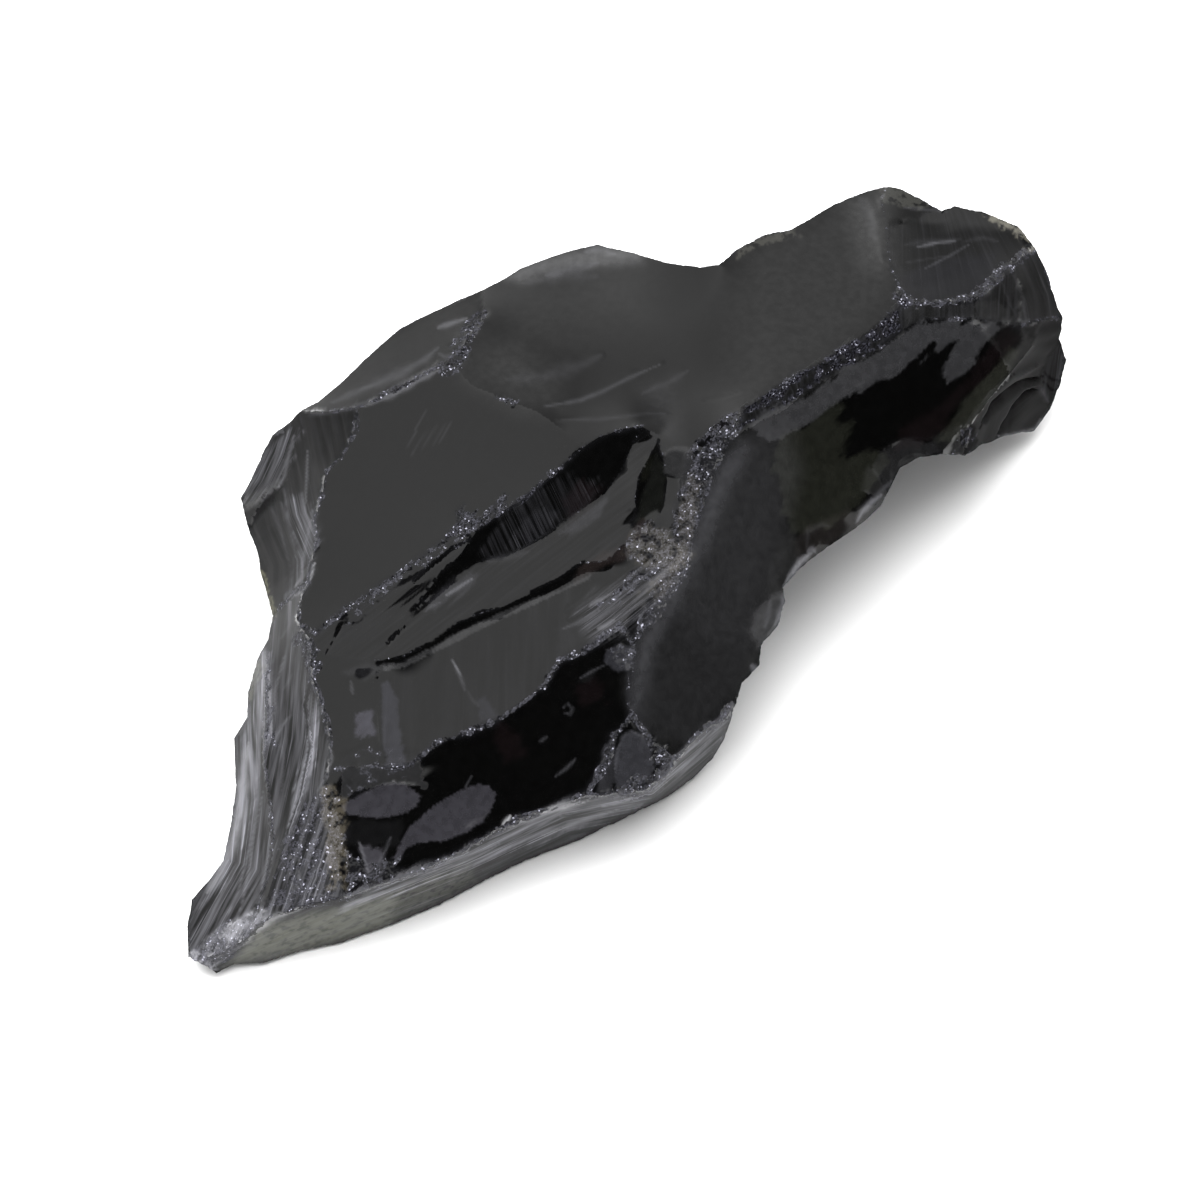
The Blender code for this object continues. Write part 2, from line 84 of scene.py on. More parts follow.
# Ridges of the upper side
TOP_RIDGES = {
    "shoulder crest": [
        (301, 411), (330, 412, 20.2), (358, 408, 21.4), (378, 398, 22.0), (405, 385, 22.6),
        (430, 370, 23.0), (447, 361, 23.3), (463, 348, 23.5), (468, 333, 23.4), (485, 312)],
    "west crest": [
        (358, 408), (356, 432, 21.0), (344, 454, 20.6), (328, 470, 20.2), (322, 497, 19.7),
        (314, 520, 19.4), (318, 540, 19.2), (312, 560, 18.5), (309, 582, 18.0),
        (300, 603, 17.0), (299, 625, 16.4), (313, 642, 16.6), (313, 675, 15.6),
        (324, 705, 14.8), (332, 740, 13.9), (330, 770, 13.1), (325, 788, 12.3),
        (332, 830, 11.0), (341, 868, 9.8), (345, 896)],
    "sliver": [(289, 423), (284, 456, 15.4), (280, 485, 14.2), (262, 498, 12.6), (247, 528)],
    "notch": [(272, 616), (290, 597, 13.2), (309, 582)],
    "wall ridge": [
        (268, 639), (266, 665, 9.4), (267, 712, 9.6), (265, 760, 9.2), (270, 800, 8.6),
        (275, 838, 8.0), (266, 885, 6.6), (250, 935)],
    "wall fold": [
        (313, 675), (306, 705, 12.6), (312, 745, 11.8), (302, 795, 10.6), (286, 842, 9.2),
        (272, 885, 7.6), (262, 922)],
    "front crest": [
        (203, 962), (218, 952, 3.4), (235, 946, 4.4), (250, 935, 5.6), (262, 922, 6.8),
        (276, 914, 7.6), (315, 902, 8.6), (345, 896, 8.7), (385, 882, 9.3), (425, 869, 9.7),
        (462, 850, 10.1), (497, 830, 10.4), (535, 813, 10.7), (560, 804, 11.0), (585, 795, 11.2),
        (624, 793, 10.6), (649, 787, 10.2), (665, 776, 10.2), (676, 760, 10.4), (690, 744, 10.3),
        (705, 729, 10.0), (719, 722, 9.6), (734, 710)],
    "facet fold": [
        (447, 361), (472, 388, 23.3), (508, 402, 23.4), (540, 415, 23.3), (582, 448)],
    "slot crest": [
        (299, 625), (318, 632, 17.0), (338, 615, 17.9), (365, 597, 18.6), (398, 575, 19.4),
        (425, 555, 20.1), (455, 533, 20.8), (478, 528, 20.9), (500, 513, 21.4),
        (525, 499, 21.8), (548, 478, 22.1), (570, 459, 22.45), (582, 448, 22.8),
        (600, 437, 23.2), (622, 430, 23.5), (642, 427, 23.7)],
    "slot mouth": [
        (478, 528), (462, 553, 20.3), (440, 576, 19.6), (412, 612, 18.38), (397, 632, 18.0),
        (383, 648)],
    "slot root": [
        (642, 427), (634, 442, 22.9), (622, 470, 21.3), (605, 494, 20.4), (578, 512, 20.05),
        (556, 529, 19.75), (537, 542, 19.35), (510, 556, 19.2), (478, 562, 19.35),
        (455, 577, 19.3), (430, 597, 18.72), (412, 612)],
    "slot end": [
        (642, 427), (657, 437, 23.2), (664, 460, 22.3), (667, 482, 21.1), (664, 506, 20.2),
        (655, 524, 19.9), (640, 524, 20.0), (634, 500, 21.2), (638, 478, 21.9),
        (648, 458, 22.8), (657, 437)],
    "slot lip": [(664, 506), (677, 503)],
    "step edge": [
        (640, 524), (622, 545, 19.6), (608, 561, 19.15), (580, 563, 19.1), (560, 578, 18.7),
        (530, 592, 18.35), (500, 608, 18.3), (480, 613, 18.15), (458, 622, 18.15),
        (430, 642, 17.8), (405, 655, 17.5), (390, 658, 17.3), (360, 662, 16.9), (330, 656)],
    "step foot": [
        (622, 545), (610, 570, 18.7), (582, 572, 18.7), (562, 586, 18.3), (532, 601, 17.95),
        (502, 617, 17.8), (482, 622, 17.7), (460, 631, 17.7), (432, 651, 17.4),
        (406, 661, 17.2), (384, 665, 17.0), (358, 669, 16.75), (330, 656, 16.6), (313, 642)],
    "band left": [
        (742, 411), (720, 421, 23.6), (700, 440, 22.9), (690, 456, 22.4), (682, 477, 21.6),
        (677, 503, 20.8), (674, 530, 19.9), (674, 552, 19.2), (662, 577, 18.6),
        (648, 600, 18.2), (640, 620, 17.5), (634, 643)],
    "band right": [
        (735, 430), (720, 450, 22.2), (712, 470, 21.4), (705, 490, 20.6), (697, 510, 20.3),
        (691, 532, 19.6), (689, 552, 19.0), (682, 571, 18.4), (668, 592, 18.0),
        (654, 612, 17.6), (643, 630, 17.1), (634, 643, 16.6), (629, 670, 15.9),
        (628, 692, 15.0), (632, 716, 13.9), (645, 731, 12.8), (660, 748, 11.7), (676, 760)],
    "main crest": [
        (735, 430, 22.6), (742, 411, 23.7), (760, 400, 23.5), (780, 390, 23.2),
        (800, 376, 22.8), (820, 367, 22.4), (842, 352, 22.0), (862, 342, 21.6),
        (880, 325, 21.4), (895, 313, 21.1), (905, 300, 20.9), (920, 302, 20.6),
        (945, 302, 20.0), (967, 298, 19.5), (985, 290, 19.1), (1000, 275, 18.6),
        (1014, 264, 17.7), (1036, 244)],
    "crest foot": [
        (735, 430), (752, 420, 22.4), (772, 410, 22.1), (792, 399, 21.8), (806, 387, 21.5),
        (826, 375, 21.2), (846, 362, 20.8), (866, 354, 20.4), (882, 346, 20.3),
        (902, 331, 20.2), (922, 320, 19.9), (947, 317, 19.3), (975, 319, 18.5),
        (1000, 321, 17.4), (1020, 326, 15.8), (1040, 320, 14.7), (1065, 316)],
    "shell border": [
        (888, 184), (882, 200, 20.4), (887, 221, 20.5), (888, 240, 20.6), (893, 270, 20.8),
        (905, 300)],
    "shell top": [(887, 221), (905, 222, 19.5), (922, 212, 19.2), (943, 209)],
    "cheek fold": [(1014, 264), (1024, 290, 15.9), (1020, 326)],
    "flank fold": [
        (752, 420), (800, 418, 20.6), (840, 398, 19.9), (885, 374, 19.1), (925, 352, 18.6),
        (960, 337, 17.9), (1000, 321)],
    "end fold": [
        (965, 455), (972, 425, 12.8), (988, 398, 13.8), (1012, 372, 13.8), (1034, 345, 13.8),
        (1040, 320)],
    "end scar": [(1053, 408), (1042, 390, 6.0), (1044, 366, 8.2), (1062, 338)],
    "edge scar 1": [
        (943, 454), (928, 439, 14.4), (905, 436, 15.4), (884, 446, 16.0), (874, 466, 15.7),
        (887, 495)],
    "edge scar 2": [(880, 507), (866, 492, 15.4), (848, 500, 15.6), (845, 518, 15.1),
                    (858, 527)],
    "edge scar 3": [(832, 544), (826, 522, 15.4), (810, 527, 15.6), (799, 543, 15.2),
                    (799, 569)],
    "edge scar 4": [(785, 601), (769, 596, 13.8), (757, 613, 13.4), (754, 634, 12.7),
                    (761, 646)],
    "patch top": [
        (634, 643), (620, 624, 17.5), (605, 635, 17.5), (585, 650, 17.3), (560, 660, 17.1),
        (545, 685, 16.3), (520, 705, 15.9), (500, 718, 15.6), (465, 732, 15.3),
        (437, 742, 15.3), (420, 757, 14.95), (408, 767, 14.7), (388, 766, 14.6),
        (362, 764, 14.2), (330, 770)],
    "patch side": [
        (632, 716), (614, 735, 13.2), (609, 757, 12.4), (598, 774, 11.8), (585, 795)],
    "apron fold": [(384, 665), (378, 702, 16.05), (381, 738, 15.3), (388, 766)],
    "scar A": [
        (345, 800, 12.1), (362, 784, 13.0), (392, 780, 13.5), (416, 786, 13.0), (420, 802, 12.3),
        (400, 815, 11.7), (370, 820, 11.4), (345, 800)],
    "scar B": [
        (402, 842, 10.7), (412, 826, 11.3), (442, 803, 12.1), (472, 786, 12.5),
        (492, 789, 12.2), (492, 808, 11.3), (470, 828, 10.9), (434, 842, 10.5), (402, 842)],
}

# Ridges of the underside; the resting face is where the height is 0
UNDER_RIDGES = {
    "resting face": [
        (262, 940, 0), (345, 918, 0), (440, 884, 0), (520, 844, 0), (600, 810, 0),
        (668, 776, 0), (706, 712, 0), (738, 640, 0), (782, 560, 0), (815, 492, 0),
        (796, 446, 0), (716, 432, 0), (640, 452, 0), (560, 470, 0), (470, 500, 0),
        (400, 540, 0), (334, 604, 0), (292, 682, 0), (270, 762, 0), (250, 862, 0),
        (262, 940, 0)],
    "belly": [
        (240, 498), (300, 500, 8.6), (350, 470, 9.4), (432, 420, 10.2), (492, 392, 9.6),
        (545, 368, 9.0), (600, 350, 7.8), (650, 338, 8.2), (742, 338, 9.4), (790, 318, 8.8),
        (840, 300, 8.0), (915, 285, 9.2), (960, 292, 8.4), (1010, 305, 8.0), (1060, 307)],
    "keel": [(815, 492), (880, 446, 1.6), (950, 412, 1.8), (1004, 402, 1.4), (1037, 430)],
    "west rib": [(340, 384), (350, 470), (334, 604)],
    "back rib 1": [(472, 294), (480, 340, 14.6), (492, 392), (470, 500)],
    "back rib 2": [(635, 253), (655, 292, 14.8), (650, 338), (640, 452)],
    "back rib 3": [(738, 248), (735, 295, 15.4), (742, 338), (716, 432)],
    "neck rib": [(863, 191), (852, 245, 13.8), (840, 300), (820, 380, 3.4), (796, 446)],
    "end rib": [(988, 211), (970, 250, 12.4), (960, 292), (965, 350, 4.2), (950, 412)],
    "flank under": [(832, 544), (838, 520, 8.2), (836, 500, 3.6), (815, 492)],
    "flank under 2": [(943, 454), (918, 444, 6.0), (880, 446)],
    "side under": [(777, 627), (756, 622, 6.0), (738, 640)],
    "west under": [(257, 552), (285, 590, 5.4), (334, 604)],
}

# Breaks between the ridges: a point inside and the hollow (+) or bulge (-) in mm
TOP_BREAKS = {
    "main break": (440, 450, 0.3),
    "great break": (700, 330, 0.55),
    "shoulder": (400, 350, 0.35),
    "west hollow": (300, 460, 0.7),
    "west low": (275, 540, 0.9),
    "notch face": (285, 632, 0.3),
    "steep wall": (250, 790, -0.2),
    "inner wall": (290, 740, 0.4),
    "crushed foot": (310, 860, 0.2),
    "strip": (480, 870, 0.5),
    "slot face": (600, 480, 0.15),
    "slot floor": (560, 555, 0.3),
    "low ledge": (430, 620, 0.1),
    "apron": (500, 650, 0.2),
    "left piece": (350, 710, 0.15),
    "black patch": (530, 760, 0.2),
    "small break": (640, 760, 0.25),
    "flank": (720, 600, -0.55),
    "flank low": (900, 420, 0.45),
    "flank top": (945, 332, 0.25),
    "dark band": (950, 310, 0.15),
    "shell": (950, 270, 0.7),
    "cheek": (1035, 290, 0.35),
    "blunt end": (1000, 420, 0.5),
    "end chip": (1052, 370, 0.3),
    "edge scar 1": (910, 455, 0.3),
    "edge scar 2": (862, 508, 0.2),
    "edge scar 3": (815, 545, 0.2),
    "edge scar 4": (770, 620, 0.2),
    "slot wedge": (652, 495, 0.08),
    "scar A": (385, 800, 0.12),
    "scar B": (450, 815, 0.12),
}
UNDER_BREAKS = {
    "under 1": (560, 320, 0.8),
    "under 2": (430, 370, 0.7),
    "under 3": (690, 300, 0.6),
    "under 4": (790, 280, 0.7),
    "under 5": (900, 240, 0.6),
    "under 6": (1010, 260, 0.5),
    "under 7": (300, 450, 0.5),
    "under 8": (400, 480, 0.9),
    "under 9": (560, 420, 1.0),
    "under 10": (680, 390, 0.9),
    "under 11": (780, 380, 0.8),
    "under 12": (900, 350, 1.0),
    "under 13": (1010, 360, 0.6),
    "under 14": (860, 480, 0.5),
    "under 15": (760, 590, 0.5),
}

# Crushed ridges: width in mm to each side, strength from 0 to 1
CRUSHED = {
    "outline": (0.10, 0.35), "shoulder crest": (0.20, 0.9), "west crest": (0.16, 0.8),
    "sliver": (0.08, 0.4), "notch": (0.20, 0.7), "wall ridge": (0.10, 0.7),
    "front crest": (0.30, 1.0), "slot crest": (0.22, 0.9), "slot root": (0.06, 0.3),
    "slot mouth": (0.05, 0.2), "slot end": (0.08, 0.4), "step edge": (0.08, 0.3),
    "step foot": (0.06, 0.2), "band left": (0.24, 0.55), "band right": (0.24, 0.55),
    "main crest": (0.32, 0.85), "crest foot": (0.26, 0.5), "patch top": (0.24, 0.9),
    "patch side": (0.26, 0.9), "shell border": (0.09, 0.6), "shell top": (0.06, 0.2),
    "end fold": (0.08, 0.15), "edge scar 1": (0.06, 0.2), "edge scar 2": (0.06, 0.3),
    "edge scar 3": (0.06, 0.2), "edge scar 4": (0.06, 0.2),
}

# Crushed fields between the ridges: corners, soft edge mm, strength
CRUSHED_FIELDS = [
    ([(442, 374), (452, 352), (466, 322), (482, 310), (478, 330), (468, 360), (456, 378)],
     0.6, 0.55),
    ([(448, 536), (453, 512), (466, 502), (474, 516), (495, 504), (505, 494), (508, 506),
      (480, 530)], 0.4, 0.7),
    ([(345, 632), (352, 606), (400, 574), (455, 536), (470, 540), (420, 570), (372, 608)],
     0.5, 0.25),
    ([(730, 420), (742, 410), (738, 430), (722, 455), (710, 480), (700, 510), (694, 540),
      (684, 572), (668, 600), (648, 625), (640, 630), (650, 608), (664, 578), (674, 545),
      (680, 505), (686, 475), (700, 450), (716, 430)], 0.5, 0.55),
    ([(628, 550), (634, 526), (650, 518), (668, 532), (678, 545), (664, 568), (640, 586),
      (610, 606), (594, 608), (618, 588), (642, 566)], 0.6, 0.5),
    ([(268, 905), (284, 850), (303, 800), (322, 786), (343, 790), (344, 890), (300, 902)],
     0.8, 0.38),
    ([(192, 958), (204, 942), (225, 925), (250, 912), (268, 908), (268, 922), (240, 950),
      (215, 968)], 0.5, 0.8),
    ([(342, 752), (372, 742), (400, 752), (420, 766), (420, 784), (392, 780), (360, 796),
      (344, 806)], 0.5, 0.18),
    ([(346, 846), (362, 862), (400, 858), (404, 876), (380, 884), (348, 888)], 0.6, 0.5),
    ([(642, 732), (662, 744), (682, 758), (664, 782), (640, 796), (600, 794), (618, 786),
      (652, 772), (656, 752)], 0.4, 0.7),
    ([(716, 722), (724, 706), (734, 698), (732, 712), (722, 728)], 0.3, 0.8),
    ([(956, 450), (960, 428), (972, 422), (978, 440)], 0.4, 0.4),
    ([(978, 292), (992, 276), (1002, 260), (1014, 264), (1004, 280), (990, 292)], 0.4, 0.45),
    ([(895, 300), (898, 288), (908, 292), (916, 306), (904, 314)], 0.3, 0.6),
    ([(604, 662), (606, 650), (620, 642), (634, 648), (632, 668)], 0.5, 0.25),
    ([(740, 412), (800, 378), (842, 354), (880, 328), (905, 302), (902, 314), (882, 340),
      (846, 357), (806, 381), (752, 416)], 0.3, 0.75),
    ([(700, 470), (712, 452), (736, 428), (744, 412), (730, 418), (712, 438), (694, 460)],
     0.3, 0.7),
    ([(498, 399), (508, 397), (516, 404), (506, 405)], 0.2, 0.6),
    ([(190, 955), (200, 948), (222, 934), (236, 938), (222, 950), (206, 962)], 0.3, 1.0),
    ([(284, 892), (300, 884), (330, 890), (344, 894), (320, 902), (286, 910)], 0.3, 0.7),
    ([(296, 640), (306, 630), (316, 640), (318, 668), (312, 680), (304, 656)], 0.3, 0.7),
    ([(268, 660), (272, 690), (272, 730), (276, 745), (266, 746), (265, 700)], 0.2, 0.5),
]

# Pits knocked out of the crushed ridges: centre, size mm, depth mm
PITS = [
    ((826, 366), 0.42, 0.28), ((792, 386), 0.30, 0.20), ((645, 564), 0.35, 0.20),
    ((810, 374), 0.22, 0.15), ((770, 398), 0.20, 0.15), ((356, 764), 0.35, 0.20),
    ((352, 782), 0.25, 0.15), ((300, 858), 0.30, 0.20), ((318, 876), 0.25, 0.15),
    ((700, 446), 0.22, 0.15), ((690, 500), 0.20, 0.12), ((898, 318), 0.20, 0.15),
]

# Ripples of the breaks: break, point they run out from, spacing mm, height mm
RIPPLES = [
    ("great break", (760, -160), 3.4, 0.010),
    ("shell", (905, 110), 1.5, 0.010),
    ("blunt end", (1080, 470), 1.15, 0.060),
    ("west hollow", (330, 640), 1.3, 0.015),
    ("edge scar 1", (915, 470), 0.45, 0.010),
    ("edge scar 2", (872, 528), 0.5, 0.008),
    ("edge scar 3", (822, 562), 0.5, 0.008),
]

# Soft creases and fine grooves: points, width mm, height mm (grooves are negative)
CREASES = [
    ([(500, 380), (540, 377), (575, 366), (604, 354)], 0.60, 0.020),
    ([(530, 408), (580, 400), (600, 392), (630, 377), (665, 362)], 0.40, 0.020),
    ([(555, 420), (600, 420), (645, 415), (670, 415)], 0.30, 0.015),
    ([(700, 402), (740, 393)], 0.16, -0.035),
    ([(868, 192), (880, 225), (884, 262)], 0.50, 0.040),
    ([(345, 620), (337, 638), (327, 655)], 0.12, -0.090),
    ([(381, 662), (377, 700), (377, 735), (383, 765)], 0.14, -0.080),
    ([(472, 540), (452, 552), (432, 568), (412, 586)], 0.16, -0.110),
    ([(455, 582), (430, 604), (405, 628), (388, 645)], 0.22, -0.120),
    ([(530, 500), (505, 520), (485, 536)], 0.16, -0.080),
    ([(600, 548), (588, 560), (574, 572)], 0.10, -0.060),
    ([(1042, 387), (1030, 393), (1018, 408), (1008, 424), (1000, 434)], 0.28, -0.450),
    ([(1042, 377), (1022, 385), (1005, 397), (994, 409), (984, 424)], 0.32, -0.500),
    ([(1042, 362), (1012, 378), (990, 396), (976, 414), (965, 428)], 0.22, 0.180),
    ([(308, 450), (307, 478), (307, 505)], 0.18, 0.050),
    ([(313, 690), (313, 725), (305, 768), (297, 798), (288, 832)], 0.20, 0.060),
    ([(249, 745), (245, 780), (242, 812), (234, 842), (222, 872)], 0.45, 0.060),
]

# Tones that thin light marks and painted highlights add to the break they lie on, as they show
TONES = {"faint": "#202022", "soft": "#343437", "light": "#525256", "bright": "#7c7c80",
         "white": "#b0b0b3"}

# Thin light marks: scratches and dusty lines, and painted highlights along crests, folds and arcs
# of the breaks: points, half width mm, tone
MARKS_AND_HIGHLIGHTS = [
    # Painted highlights: the light streak along the shoulder crest and on the shoulder
    ([(304, 416), (330, 413), (352, 408), (372, 400)], 0.16, "soft"),
    ([(378, 397), (402, 384), (428, 370)], 0.12, "soft"),
    ([(330, 404), (362, 390), (400, 374), (424, 360), (440, 346)], 0.34, "soft"),
    ([(360, 408), (390, 396), (420, 380), (448, 366)], 0.20, "light"),
    ([(436, 328), (452, 323), (468, 318)], 0.20, "light"),
    ([(438, 352), (446, 358), (456, 352)], 0.16, "soft"),
    # Painted highlights: the lighter top edge, where the shoulder rolls back
    ([(545, 276), (575, 268), (600, 262)], 0.30, "soft"),
    ([(520, 284), (560, 276), (600, 276)], 0.34, "faint"),
    ([(584, 252), (598, 248), (616, 254)], 0.24, "soft"),
    ([(640, 395), (670, 382), (690, 370)], 0.20, "faint"),
    # Painted highlights: three light arcs across the great break
    ([(505, 380), (545, 377), (578, 367), (604, 354)], 0.50, "faint"),
    ([(540, 408), (580, 401), (602, 392), (630, 378), (660, 365)], 0.14, "soft"),
    ([(560, 420), (600, 420), (645, 415), (668, 415)], 0.12, "faint"),
    # Painted highlight: the glow along the right edge of the great break
    ([(860, 196), (872, 215), (876, 240)], 0.60, "faint"),
    ([(918, 246), (940, 241), (958, 240)], 0.12, "light"),
    ([(905, 244), (925, 240), (945, 239), (962, 238)], 0.24, "faint"),
    ([(925, 268), (948, 256), (962, 248), (972, 242)], 0.10, "soft"),
    ([(905, 262), (940, 256), (958, 254)], 0.10, "faint"),
    ([(965, 240), (985, 236), (1000, 240)], 0.16, "faint"),
    ([(904, 206), (930, 208), (950, 210)], 0.12, "soft"),
    ([(295, 432), (290, 450), (285, 474), (276, 490)], 0.13, "light"),
    ([(308, 448), (307, 478), (306, 505)], 0.12, "light"),
    ([(280, 500), (290, 530), (296, 556)], 0.16, "soft"),
    ([(270, 505), (281, 535), (290, 566)], 0.12, "soft"),
    ([(312, 515), (305, 548), (302, 572)], 0.14, "light"),
    ([(322, 497), (314, 518)], 0.12, "soft"),
    ([(316, 562), (310, 582), (300, 592), (291, 597)], 0.12, "bright"),
    ([(308, 566), (302, 578), (290, 593)], 0.10, "bright"),
    ([(300, 604), (292, 622), (280, 640)], 0.14, "soft"),
    ([(266, 656), (269, 680), (270, 700), (273, 740)], 0.11, "bright"),
    ([(285, 655), (276, 690), (275, 715)], 0.10, "light"),
    ([(293, 672), (284, 690)], 0.10, "soft"),
    ([(249, 742), (245, 778), (242, 812), (234, 842), (222, 870), (208, 892)], 0.55, "bright"),
    ([(248, 745), (244, 780), (241, 814), (234, 840)], 0.35, "light"),
    ([(264, 790), (256, 830), (251, 866), (244, 900), (238, 920)], 0.09, "light"),
    ([(258, 815), (250, 850), (240, 890), (228, 918)], 0.09, "light"),
    ([(276, 832), (268, 862), (262, 892), (260, 906)], 0.11, "light"),
    ([(282, 742), (285, 760), (283, 790)], 0.10, "soft"),
    ([(274, 745), (282, 726), (292, 714)], 0.10, "light"),
    ([(313, 690), (313, 725), (305, 768), (297, 798), (288, 832)], 0.14, "light"),
    ([(319, 700), (319, 740), (308, 782), (300, 800)], 0.10, "soft"),
    ([(330, 735), (333, 758), (328, 776), (318, 792)], 0.12, "light"),
    ([(296, 828), (292, 856), (294, 890)], 0.12, "light"),
    ([(303, 826), (300, 860), (300, 892), (340, 894)], 0.10, "light"),
    ([(455, 664), (461, 676), (466, 690)], 0.16, "soft"),
    ([(452, 659), (458, 668), (463, 680)], 0.08, "light"),
    ([(466, 688), (472, 698), (480, 706)], 0.12, "faint"),
    ([(352, 680), (354, 694)], 0.10, "soft"),
    ([(580, 678), (592, 671), (606, 664)], 0.10, "soft"),
    ([(555, 776), (566, 768), (577, 757)], 0.10, "soft"),
    ([(539, 742), (547, 736)], 0.09, "soft"),
    ([(563, 708), (568, 703), (573, 708), (570, 714), (564, 712)], 0.08, "soft"),
    ([(466, 786), (470, 778), (473, 775)], 0.08, "soft"),
    ([(503, 826), (507, 820), (512, 814)], 0.16, "white"),
    ([(360, 838), (364, 852), (370, 870)], 0.10, "light"),
    ([(392, 836), (386, 850), (378, 866)], 0.12, "soft"),
    ([(642, 736), (630, 730), (622, 737), (617, 750), (615, 768), (614, 785)], 0.10, "soft"),
    ([(700, 738), (686, 752), (674, 766), (664, 782)], 0.14, "light"),
    ([(500, 830), (530, 818), (562, 808), (600, 801), (640, 796)], 0.24, "light"),
    ([(560, 815), (600, 804), (650, 797), (664, 786)], 0.12, "light"),
    ([(480, 872), (510, 856), (540, 842)], 0.14, "soft"),
    ([(312, 903), (272, 918), (252, 934), (232, 946), (205, 958)], 0.26, "white"),
    ([(226, 934), (236, 928), (250, 922)], 0.22, "bright"),
    ([(206, 946), (216, 940), (226, 932)], 0.16, "bright"),
    ([(745, 445), (720, 480), (700, 540), (672, 600), (650, 640), (636, 690), (634, 716)],
     0.90, "faint"),
    # Painted highlight: the light line along the end fold
    ([(1034, 366), (1020, 374), (1005, 382), (995, 392), (982, 406), (964, 428)], 0.20, "faint"),
    ([(1041, 384), (1046, 392), (1052, 402)], 0.20, "soft"),
    ([(1000, 436), (1020, 434), (1038, 428), (1050, 414)], 0.14, "bright"),
    ([(893, 480), (880, 492), (862, 512), (854, 524)], 0.16, "soft"),
    ([(884, 493), (872, 502), (862, 512), (856, 524)], 0.16, "light"),
    ([(812, 552), (800, 562), (790, 576), (784, 586)], 0.24, "bright"),
    ([(783, 592), (783, 604), (780, 616), (774, 628)], 0.26, "light"),
    ([(770, 600), (768, 616), (764, 630)], 0.16, "soft"),
    ([(806, 552), (812, 549), (816, 553)], 0.18, "light"),
    ([(806, 548), (808, 532), (820, 525), (832, 526)], 0.16, "faint"),
    ([(750, 664), (754, 668), (758, 672)], 0.26, "light"),
    ([(1020, 318), (1026, 322), (1032, 318)], 0.14, "soft"),
    ([(1000, 272), (1010, 300), (1018, 318)], 0.08, "faint"),
    ([(1012, 268), (1024, 296), (1028, 318)], 0.08, "faint"),
    ([(404, 452), (418, 430)], 0.07, "faint"),
    ([(412, 456), (430, 427)], 0.07, "faint"),
    ([(421, 453), (440, 421)], 0.07, "faint"),
    ([(431, 449), (447, 421)], 0.07, "faint"),
    ([(439, 445), (452, 422)], 0.06, "faint"),
    ([(415, 431), (428, 409)], 0.06, "faint"),
    ([(588, 607), (600, 600), (613, 593)], 0.15, "light"),
    ([(597, 629), (606, 625), (614, 620)], 0.16, "light"),
    ([(560, 630), (585, 620), (600, 610)], 0.12, "soft"),
    ([(446, 596), (460, 587), (474, 578)], 0.14, "light"),
    ([(424, 612), (432, 606), (442, 602)], 0.10, "soft"),
    ([(486, 562), (510, 556), (530, 552)], 0.30, "faint"),
    ([(505, 828), (540, 812), (590, 799)], 0.20, "white"),
    ([(540, 836), (580, 820), (620, 808)], 0.14, "bright"),
    ([(600, 806), (640, 796), (668, 780)], 0.12, "bright"),
    ([(430, 872), (470, 858), (500, 842)], 0.10, "light"),
    ([(676, 776), (694, 756), (712, 738)], 0.10, "light"),
]

# Corners of the strip below the main crest, which is dull, and dark by painted shade
CREST_STRIP = [(735, 430), (742, 408), (800, 372), (842, 348), (880, 322), (905, 298),
               (916, 306), (902, 333), (866, 358), (826, 378), (792, 402), (752, 424)]

# Streaked and dulled parts of the breaks: corners, soft edge mm, streak dust, dullness
SKINS = [
    ([(266, 440), (290, 428), (302, 432), (292, 450), (284, 478), (272, 492), (243, 504),
      (250, 480)], 0.8, 0.50, 0.9),
    ([(284, 492), (300, 496), (314, 512), (318, 540), (312, 566), (298, 598), (288, 600),
      (292, 580), (298, 560), (296, 535), (286, 515)], 1.0, 0.50, 0.9),
    ([(262, 650), (270, 652), (266, 740), (262, 780), (246, 840), (226, 884), (200, 906),
      (212, 878), (230, 840), (240, 780), (240, 735), (252, 700)], 1.0, 1.0, 0.9),
    ([(318, 690), (322, 720), (318, 760), (300, 810), (288, 840), (290, 800), (306, 750),
      (312, 700)], 0.6, 0.75, 0.9),
    ([(480, 550), (510, 510), (560, 475), (600, 480), (590, 505), (552, 530), (520, 550),
      (490, 562)], 0.8, 0.05, 0.0),
    ([(505, 548), (520, 520), (546, 502), (560, 515), (548, 538), (524, 550)], 0.6, 0.10, 0.0),
    ([(345, 896), (462, 850), (560, 804), (649, 787), (700, 735), (734, 712), (724, 735),
      (690, 770), (640, 806), (560, 832), (470, 870), (400, 896), (345, 912)],
     1.0, 0.95, 0.9),
    ([(985, 322), (1045, 322), (1050, 350), (1012, 378), (1003, 358)], 0.5, 0.0, 0.95),
    ([(988, 286), (1002, 268), (1016, 262), (1026, 290), (1022, 324), (985, 320), (975, 306)],
     1.2, 0.04, 0.95),
    ([(342, 766), (420, 762), (426, 786), (395, 780), (360, 790), (344, 800)],
     0.3, 0.05, 0.9),
    (CREST_STRIP, 0.3, 0.0, 0.9),
    ([(301, 411), (330, 413), (358, 409), (378, 399), (405, 386), (430, 371), (447, 362),
      (463, 349), (470, 333), (482, 314), (484, 290), (431, 305), (395, 322), (365, 350),
      (335, 380)], 0.8, 0.0, 0.85),
]

# Parts of the breaks that are combed another way: corners, soft edge mm, guide line, streak dust
COMBED = [
    ([(578, 612), (596, 590), (620, 584), (645, 566), (684, 548), (678, 575), (655, 606),
      (618, 636), (590, 640)], 1.6, [(540, 655), (600, 612), (690, 540)], 0.22),
    ([(262, 448), (290, 424), (298, 428), (290, 450), (284, 478), (262, 498), (244, 508),
      (238, 490)], 0.6, [(300, 410), (284, 456), (270, 486), (246, 520)], 0.28),
]
